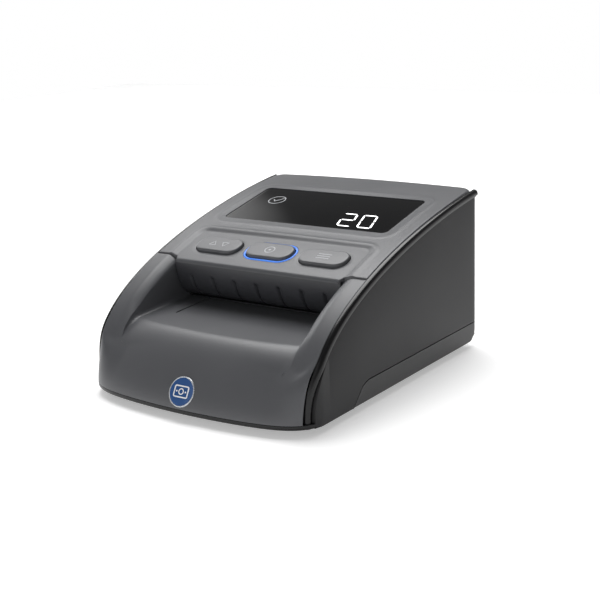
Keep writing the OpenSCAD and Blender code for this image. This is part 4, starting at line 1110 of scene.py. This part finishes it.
@dataclass
class Base:
    """Underside moulding: floor, low walls under the seam and the round heel."""

    form: BodyForm
    wall: float = 2.3
    front_inset: float = 2.6
    floor: float = 2.4
    edge_r: float = 1.0
    seam_gap: float = 0.15

    def outline(self, inset: float) -> tuple[Array, Array]:
        """Closed plan outline and its rim height; in front of the seam's foot it hides in the housing."""
        f = self.form
        foot = f.seam_ys[0]
        y_side = foot + (f.rear_y - f.rear_r - foot) * np.linspace(0, 1, 60) ** 1.5
        turn = np.linspace(0, np.pi / 2, 13)[1:]
        ax = f.half_w - f.rear_r + (f.rear_r - inset) * np.cos(turn)
        ay = f.rear_y - f.rear_r + (f.rear_r - inset) * np.sin(turn)
        xs = np.sin(np.linspace(0, np.pi / 2, 40)) * (f.half_w - self.front_inset)
        front_y = f.nose_at(xs * f.half_w / (f.half_w - self.front_inset)) + self.front_inset
        keep = front_y < foot - 0.3
        front = np.column_stack([xs[keep], front_y[keep] + inset])
        corner = [[f.half_w - self.front_inset - inset, foot - 0.2]]
        front = np.concatenate([front[:1] * [0, 1], front[1:], corner])
        sides = np.column_stack([f.half_at(y_side) - inset, y_side])
        right = np.concatenate([front, sides, np.column_stack([ax, ay])])
        side_rim = np.maximum(f.seam_z(y_side) - self.seam_gap, f.foot_z + 0.1)
        rear_rim = np.full(len(ax), f.seam_z(0) - self.seam_gap)
        rim = np.concatenate([np.full(len(front), f.foot_z + self.floor), side_rim, rear_rim])
        left = right[:0:-1] * np.array([-1, 1])
        return np.concatenate([right, left]), np.concatenate([rim, rim[:0:-1]])

    def make(self) -> None:
        """Rings from the outer rim down and under to the middle, then back up inside to the inner rim."""
        f = self.form
        outer, rim = self.outline(0.0)
        inner, _ = self.outline(self.wall)
        r, z0 = self.edge_r, f.foot_z
        rings = []

        def ring(xy: Array, z: Array) -> None:
            """Adds one ring, held inside the heel."""
            rings.append(np.column_stack([xy[:, 0], np.minimum(xy[:, 1], f.heel_y(z)), z]))

        toward = inner - outer
        ring(outer, rim)
        for share in (0.75, 0.5, 0.25):
            ring(outer, z0 + r + np.maximum(rim - z0 - r, 0) * share)
        for a in np.linspace(0, np.pi / 2, 6):
            drop = np.full(len(rim), z0 + r * (1 - np.sin(a)))
            ring(outer + toward / self.wall * r * (1 - np.cos(a)), drop)
        centre = np.array([0.0, 5.0])
        foot = rings[-1][:, :2]
        floor_z = np.full(len(rim), z0 + self.floor)
        well = np.column_stack([inner[:, 0], np.minimum(inner[:, 1], f.heel_y(floor_z) - self.wall)])
        for scale in (0.9, 0.6, 0.3, 0.03):
            rings.append(np.column_stack([centre + (foot - centre) * scale, np.full(len(rim), z0)]))
        for scale in (0.03, 0.3, 0.6, 0.9, 1.0):
            rings.append(np.column_stack([centre + (well - centre) * scale, floor_z]))
        rim_y = np.minimum(inner[:, 1], f.heel_y(rim) - self.wall)
        rings.append(np.column_stack([inner[:, 0], rim_y, np.maximum(rim, z0 + 2.5)]))
        obj = hoop("base_shell", rings)
        lo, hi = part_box("battery_door")
        opening = rounded_outline((hi.x - lo.x) / MM + 0.6, (hi.y - lo.y) / MM + 0.6, 1.0, 4)
        cuts = [prism("door_cut", opening, 0, 8, moved(*middle("battery_door")[:2]))]
        feet = corners(*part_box("rubber_feet"), 5.5)
        screws = [(43, -50), (-43, -50), (34, 63.5), (-34, 63.5)]
        cuts += [prism("foot_cut", circle(5.6, 40), 0, 4, moved(x, y)) for x, y in feet]
        cuts += [prism("screw_cut", circle(2.9, 32), 0, 4.6, moved(x, y)) for x, y in screws]
        carve(obj, cuts, 40)
        finish_piece(obj, "base_grey", Body.BASE.value, "base_tray")


def corners(lo: Vector, hi: Vector, r: float) -> list[tuple[float, float]]:
    """Middles of the four round pads whose box runs from lo to hi, in millimetres."""
    return [(x, y) for x in (lo.x / MM + r, hi.x / MM - r) for y in (lo.y / MM + r, hi.y / MM - r)]


def copied(obj: bpy.types.Object) -> bpy.types.Object:
    """A welded copy of obj's mesh, placed by its points so that the copy itself stays at the origin."""
    mesh = obj.data.copy()
    mesh.transform(obj.matrix_world)
    mesh.materials.clear()
    tidy(mesh, 32)
    made = bpy.data.objects.new(obj.name + "_copy", mesh)
    bpy.context.scene.collection.objects.link(made)
    return made


@dataclass
class Guide:
    """Dark curved guide over the throat, with slanted grooves that widen towards their tops."""

    form: BodyForm
    cad: bpy.types.Object
    half: float = 48.6
    grooves: int = 7
    pitch: float = 13.1
    slant: float = -0.03
    groove_w: float = 0.85
    groove_d: float = 1.5

    def make(self) -> None:
        """A quarter-ellipse carried across, pushed in along each groove by a rounded notch."""
        f = self.form
        y0, y1 = f.split_y - 2.6, f.throat_y + 0.9
        z1, z0 = float(f.rise(f.split_y - 3)) - 1.25, f.path_z + 1.05
        marks = (np.arange(self.grooves) - (self.grooves - 1) / 2) * self.pitch
        near = np.array([-1.6, -0.9, -0.6, -0.4, -0.2, 0, 0.2, 0.4, 0.6, 0.9, 1.6])
        even = np.linspace(-self.half, self.half, 50)
        xs = np.sort(np.concatenate([even, (marks[:, None] + near).ravel()]))
        xs = xs[np.concatenate([[True], np.diff(xs) > 0.05])]
        a = np.linspace(0, np.pi / 2, 46)
        along = 1 - np.cos(a)
        down = 1 - np.sin(a)
        yy = y0 + (y1 - y0) * along
        zz = z0 + (z1 - z0) * down
        share = np.linspace(0, 1, len(a))
        d = np.abs(xs[:, None] - marks[None, :]).min(1)
        widen = 0.75 + 0.9 * (1 - smooth(0.30, 0.62, share))
        cut = 1 - smooth(0.0, 1.0, d[None, :] / (self.groove_w * widen[:, None]))
        cut = cut * smooth(0.22, 0.28, share)[:, None]
        cut = cut * (1 - smooth(0.93, 1.0, share))[:, None] * self.groove_d
        ny, nz = -np.cos(a), -np.sin(a)
        lean = self.slant * (zz - (z0 + z1) / 2)
        x = xs[None, :] + lean[:, None] * (1 - smooth(44, self.half, np.abs(xs)))[None, :]
        outer = np.stack([x, yy[:, None] - cut * ny[:, None], zz[:, None] - cut * nz[:, None]], -1)
        inner = np.stack([x, yy[:, None] + 1.6 + 0 * x, zz[:, None] + 1.1 + 0 * x], -1)
        inner[..., 1] = np.maximum(inner[..., 1], outer[..., 1] + 0.3)
        inner[..., 2] = np.maximum(np.minimum(inner[..., 2], z1 + 0.2), outer[..., 2] + 0.05)
        nose = shell("guide_nose", outer, inner, [], 40)
        plate = copied(self.cad)
        carve(plate, [prism("nose_cut", rounded_outline(140, 40, 0.5, 3), 20, 90, moved(0, y1 - 20))], 40)
        finish_piece(join("throat_guide", [nose, plate]), "guide_grey", Body.TOP.value, "upper_guide")


@dataclass
class KeyCap:
    """One key: a cap with an eased rim, its print, and the parts hidden in its well."""

    form: BodyForm
    which: Key
    size: tuple[float, float] = (26.0, 12.6)
    pitch: float = 31.0
    row_y: float = -10.4
    proud: float = 0.62
    rim: float = 1.0

    def cap(self) -> bpy.types.Object:
        """Rings of the rounded outline: up the side, round the rim and in over a slightly domed top."""
        w, l = self.size
        frame = self.form.on_cover(self.which.value[2] * self.pitch, self.row_y)
        rings = []

        def ring(inset: float, z: float) -> None:
            """One outline moved in by inset at height z."""
            radius = max(l / 2 - 0.5 - inset, 0.05)
            rings.append(place(rounded_outline(w - 2 * inset, l - 2 * inset, radius, 16), z, frame))

        ring(0.0, -5.6)
        for a in np.linspace(0, np.pi / 2, 8):
            ring(self.rim * (1 - math.cos(a)), self.proud - self.rim * 0.9 * (1 - math.sin(a)))
        for inset in (1.6, 2.4, 3.4, 4.6, 5.7):
            ring(inset, self.proud + 0.12 * (1 - ((5.8 - inset) / 4.8) ** 2) * 0.5)
        return loft(f"{self.which.value[1]}_cap", np.stack(rings), 45)

    def print_marks(self) -> list[bpy.types.Object]:
        """Triangles up and down, a ring with a dot, or three bars."""
        frame = self.form.on_cover(self.which.value[2] * self.pitch, self.row_y)
        z0, z1 = self.proud - 0.2, self.proud + 0.075
        if self.which is Key.LEFT:
            made = []
            for s in (-1, 1):
                tri = np.array([[-1.9, -1.5], [1.9, -1.5], [0, 1.9]]) * [1, -s]
                made.append(ribbon(f"mark{s}", denser(tri, 8) + [s * 3.4, 0], 0.38, z0, z1, frame, True))
            return made
        if self.which is Key.CENTRE:
            ring = ribbon("mark_ring", circle(2.5, 40), 0.55, z0, z1, frame, True)
            return [ring, prism("mark_dot", circle(0.65, 20), z0, z1, frame)]
        made = []
        for k in (-1, 0, 1):
            line = np.column_stack([np.linspace(-3.6, 3.6, 12), np.full(12, 1.7 * k)])
            made.append(ribbon(f"mark{k}", line, 0.5, z0, z1, frame))
        return made

    def make(self) -> None:
        """Builds the cap and its print."""
        body, cad, _ = self.which.value
        finish_piece(self.cap(), "key_grey", body, cad)
        finish_piece(join(f"{cad}_print", self.print_marks()), "key_grey", body, finish="print_white")


@dataclass
class LightRing:
    """Blue light pipe round the middle key."""

    form: BodyForm
    key: tuple[float, float, float] = (26.0, 12.6, -10.4)

    def make(self) -> None:
        """A rounded section carried round the key's outline."""
        w, l, y = self.key
        frame = self.form.on_cover(0, y)
        turns = np.linspace(0, 2 * np.pi, 14, endpoint=False)
        rings = []
        for a in turns:
            grow = 0.95 + 0.55 * math.cos(a)
            outline = rounded_outline(w + 2 * grow, l + 2 * grow, l / 2 + grow - 0.5, 16)
            rings.append(place(outline, -1.0 + 0.42 * math.sin(a), frame))
        obj = hoop("key_light_pipe", rings, 60)
        finish_piece(obj, "light_blue", Body.TOP.value, "light_ring")


@dataclass
class Display:
    """Black pane with lit seven-bar digits and a tick in a ring."""

    form: BodyForm
    size: tuple[float, float, float] = (97.0, 41.0, 36.0)
    digit: tuple[float, float] = (7.4, 14.0)
    lean: float = -0.26
    lit: tuple[float, float] = (-0.92, -0.86)

    def pane(self) -> bpy.types.Object:
        """The pane: its outline drawn up with an eased rim."""
        w, l, y = self.size
        return prism("display_pane", rounded_outline(w, l, 3.0), -2.9, -0.9, self.form.on_cover(0, y), 0.3)

    def bar(
        self, a: tuple[float, float], b: tuple[float, float], at: tuple[float, float]
    ) -> bpy.types.Object:
        """One lit bar: a long six-sided prism from a to b, pointed at both ends."""
        p, q = np.array(a, float), np.array(b, float)
        along = (q - p) / np.linalg.norm(q - p)
        side = np.array([-along[1], along[0]]) * 0.45
        p, q = p + along * 0.3, q - along * 0.3
        tip = along * 0.6
        outline = np.array([p, p + tip - side, q - tip - side, q, q - tip + side, p + tip + side])
        outline[:, 0] += outline[:, 1] * self.lean
        return prism("bar", outline + np.array(at), *self.lit, self.form.on_cover(0, self.size[2]))

    def digits(self) -> list[bpy.types.Object]:
        """Two digits made of seven-bar strokes."""
        w, h = self.digit
        a, b, c, d, e, f = (0, h), (w, h), (0, h / 2), (w, h / 2), (0, 0), (w, 0)
        two = [(a, b), (b, d), (c, d), (c, e), (e, f)]
        nought = [(a, b), (b, d), (d, f), (a, c), (c, e), (e, f)]
        made = []
        for at, bars in (((18.5, -16.5), two), ((30.0, -16.5), nought)):
            made += [self.bar(p, q, at) for p, q in bars]
        return made

    def tick(self) -> list[bpy.types.Object]:
        """A tick inside a ring, the tick's end passing the ring."""
        frame = self.form.on_cover(0, self.size[2])
        at = np.array([-33.0, 6.0])
        ring = ribbon("tick_ring", circle(4.6, 48) + at, 0.5, *self.lit, frame, True)
        mark = np.array([[-2.2, 0.5], [-0.5, -1.6], [3.0, 2.8]])
        path = np.concatenate([np.linspace(mark[0], mark[1], 8)[:-1], np.linspace(mark[1], mark[2], 14)])
        return [ring, ribbon("tick_mark", path + at, 0.6, *self.lit, frame)]

    def make(self) -> None:
        """Builds the pane and what is lit behind it."""
        slot, body = "display_black", Body.TOP.value
        finish_piece(self.pane(), slot, body, "display_window")
        finish_piece(join("display_digits", self.digits()), slot, body, finish="digit_white")
        finish_piece(join("display_tick", self.tick()), slot, body, finish="print_white")


@dataclass
class Badge:
    """Blue domed disc on the apron with a plain note pictogram and a pale ring."""

    form: BodyForm
    height: float = 13.0
    radius: float = 7.0
    apron_top: float = 21.6

    def frame(self) -> Array:
        """Placing matrix on the apron: local Z points out of it."""
        rise = self.apron_top - CHIN_Z
        t = (self.height - CHIN_Z) / rise
        a = math.pi / 2 - math.atan(APRON_LEAN * 1.5 * math.sqrt(t) / rise)
        made = np.eye(4)
        made[:3, :3] = [[1, 0, 0], [0, math.cos(a), -math.sin(a)], [0, math.sin(a), math.cos(a)]]
        made[:3, 3] = (0, self.form.nose_y + APRON_LEAN * t**1.5, self.height)
        return made

    def turned(self, name: str, profile: Array) -> bpy.types.Object:
        """A closed profile of (radius, height) turned once round the badge's axis."""
        frame = self.frame()
        return hoop(name, [place(circle(r, 72), z, frame) for r, z in profile], 50)

    def make(self) -> None:
        """Builds the ring, the disc and the pictogram."""
        r, base = self.radius, Body.BASE.value
        ring = [(r - 0.55, -1.5), (r, -1.5), (r, 0.05), (r - 0.12, 0.22), (r - 0.42, 0.26), (r - 0.55, 0.18)]
        finish_piece(self.turned("badge_rim", np.array(ring)), "badge_silver", base, "badge_ring")
        rs = np.linspace(r - 0.5, 0.02, 14)
        dome = np.column_stack([rs, 0.12 + 0.3 * (1 - (rs / r) ** 2)])
        profile = np.concatenate([[(0.02, -1.5), (r - 0.5, -1.5)], dome])
        finish_piece(self.turned("badge_face", profile), "badge_blue", base, "badge_disc")
        frame = self.frame()
        note = rounded_outline(7.6, 5.0, 0.7, 5)
        marks = [ribbon("note_edge", denser(note, 3), 0.6, -0.2, 0.44, frame, True)]
        marks.append(ribbon("note_ring", circle(1.25, 32), 0.5, -0.2, 0.46, frame, True))
        for x in (-2.5, 2.5):
            marks.append(prism("note_dot", circle(0.38, 16) + np.array([x, 0]), -0.2, 0.44, frame))
        finish_piece(join("badge_pictogram", marks), "badge_silver", base, finish="badge_print")


@dataclass
class ReleaseCap:
    """Cap of the release button, with an eased rim and three grips."""

    form: BodyForm

    def make(self) -> None:
        """A rounded cap with three raised ribs; the hook behind it stays the CAD one's shape."""
        side = on_left(-self.form.half_w + 2.6, middle("release_button")[1], BUTTON_Z)
        cap = prism("cap", rounded_outline(10.0, 6.0, 1.2, 6), 0.0, 2.3, side, 0.35)
        rib = rounded_outline(7.0, 0.6, 0.25, 4)
        ribs = [prism("rib", rib + np.array([0, up]), 2.0, 2.5, side) for up in (-1.5, 0.0, 1.5)]
        finish_piece(join("release_cap", [cap, *ribs]), "button_grey", Body.RELEASE.value)


class Carried:
    """CAD nodes that keep their own shape and take a finish from their slot."""

    def __init__(self, frame: dict) -> None:
        """Keeps the frame's nodes and their slots."""
        self.nodes = frame["nodes"]
        self.slots = {part["node"]: part["material_slot"] for part in frame["record"]["subparts"]}

    def dress(self) -> None:
        """Gives each CAD node the finish of its slot."""
        for name, obj in sorted(self.nodes.items()):
            FINISHES[self.slots[name]].dress(obj)
        LOG.info("dressed %d CAD nodes", len(self.nodes))


@dataclass
class Studio:
    """Pale floor, soft lights and the camera."""

    azimuth: float = 36.04
    elevation: float = 14.76
    roll: float = -2.31
    distance: float = 0.5929
    aim: float = 0.040
    lens: float = 72.4
    shift: tuple[float, float] = (0.0257, -0.0144)
    sky: float = 0.16
    lobe: tuple[float, float, float] = (-0.82, 0.38, 0.42)
    lobe_from: float = 0.93
    lobe_to: float = 0.975
    lobe_power: float = 2.2

    def camera(self) -> None:
        """Looks at the point aim above the floor's middle from azimuth and elevation, turned by roll."""
        az, el, roll = (math.radians(v) for v in (self.azimuth, self.elevation, self.roll))
        back = Vector((math.sin(az) * math.cos(el), -math.cos(az) * math.cos(el), math.sin(el)))
        right = Vector((math.cos(az), math.sin(az), 0))
        up = back.cross(right)
        turned = right * math.cos(roll) + up * math.sin(roll)
        top = up * math.cos(roll) - right * math.sin(roll)
        data = bpy.data.cameras.new("camera")
        data.lens, data.sensor_width = self.lens, 36.0
        data.shift_x, data.shift_y = self.shift
        data.clip_start, data.clip_end = 0.01, 20.0
        obj = bpy.data.objects.new("camera", data)
        obj.matrix_world = Matrix.Translation(Vector((0, 0, self.aim)) + back * self.distance) @ Matrix(
            (turned, top, back)
        ).transposed().to_4x4()
        bpy.context.scene.collection.objects.link(obj)
        bpy.context.scene.camera = obj

    def light(self, name: str, at: tuple[float, float, float], size: float, power: float) -> None:
        """A square soft light at a place, turned to the body."""
        data = bpy.data.lights.new(name, "AREA")
        data.energy, data.size = power, size
        obj = bpy.data.objects.new(name, data)
        obj.location = at
        obj.rotation_euler = (Vector((0, 0, 0.04)) - Vector(at)).to_track_quat("-Z", "Y").to_euler()
        bpy.context.scene.collection.objects.link(obj)

    def floor(self) -> None:
        """A wide pale plane under the body."""
        side = 1250.0
        grid = np.stack(np.meshgrid(np.linspace(-side, side, 5), np.linspace(-side, side, 5)), -1)
        points = np.concatenate([grid, np.full(grid.shape[:2] + (1,), -0.05)], -1)
        obj = build("studio_floor", points, grid_quads(5, 5).tolist())
        flip_up(obj)
        Finish("floor_pale", (0.9, 0.9, 0.9), 0.9, shade=0.0, glow=0.4).dress(obj)

    def world(self) -> None:
        """Pale near and below the horizon, dim above it, with one soft lobe low on the left at the rear."""
        world = bpy.data.worlds.new("surround")
        world.use_nodes = True
        tree = world.node_tree
        back = tree.nodes["Background"]
        toward = node(tree, "ShaderNodeTexCoord", {}, {})[0]
        up = node(tree, "ShaderNodeSeparateXYZ", {}, {0: toward})[2]
        lobe = Vector(self.lobe).normalized()
        near = node(tree, "ShaderNodeVectorMath", {"operation": "DOT_PRODUCT"}, {0: toward, 1: lobe})[1]
        glow = ((near - self.lobe_from) / (self.lobe_to - self.lobe_from)).clamp()
        level = 1.0 - ((up - 0.1) / 0.2).clamp() * (1.0 - self.sky) + glow * self.lobe_power
        back.inputs["Color"].default_value = (1.0, 1.0, 1.0, 1.0)
        tree.links.new(level.value, back.inputs["Strength"])
        bpy.context.scene.world = world

    def make(self) -> None:
        """Builds the studio."""
        self.camera()
        self.world()
        self.floor()
        self.light("key_light", (-0.35, 0.6, 1.5), 1.2, 28.0)
        self.light("fill_light", (-0.3, -1.5, 0.8), 1.4, 2.0)
        scene = bpy.context.scene
        scene.view_settings.view_transform = "Standard"
        scene.view_settings.look = "None"


def main() -> None:
    """Loads the frame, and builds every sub-assembly."""
    logging.basicConfig(level=logging.INFO, format="%(message)s")
    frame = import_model()
    form = BodyForm.from_frame()
    Studio().make()
    Carried(frame).dress()
    shell = [kind(form) for kind in (Cover, Bezel, Band, Housing, Base)]
    guide = Guide(form, frame["nodes"]["upper_guide"])
    fittings = [kind(form) for kind in (LightRing, Display, Badge, ReleaseCap)]
    keys = [KeyCap(form, which) for which in Key]
    for part in [*shell, guide, *fittings, *keys]:
        LOG.info("building %s", type(part).__name__)
        part.make()


if __name__ == "__main__":
    main()
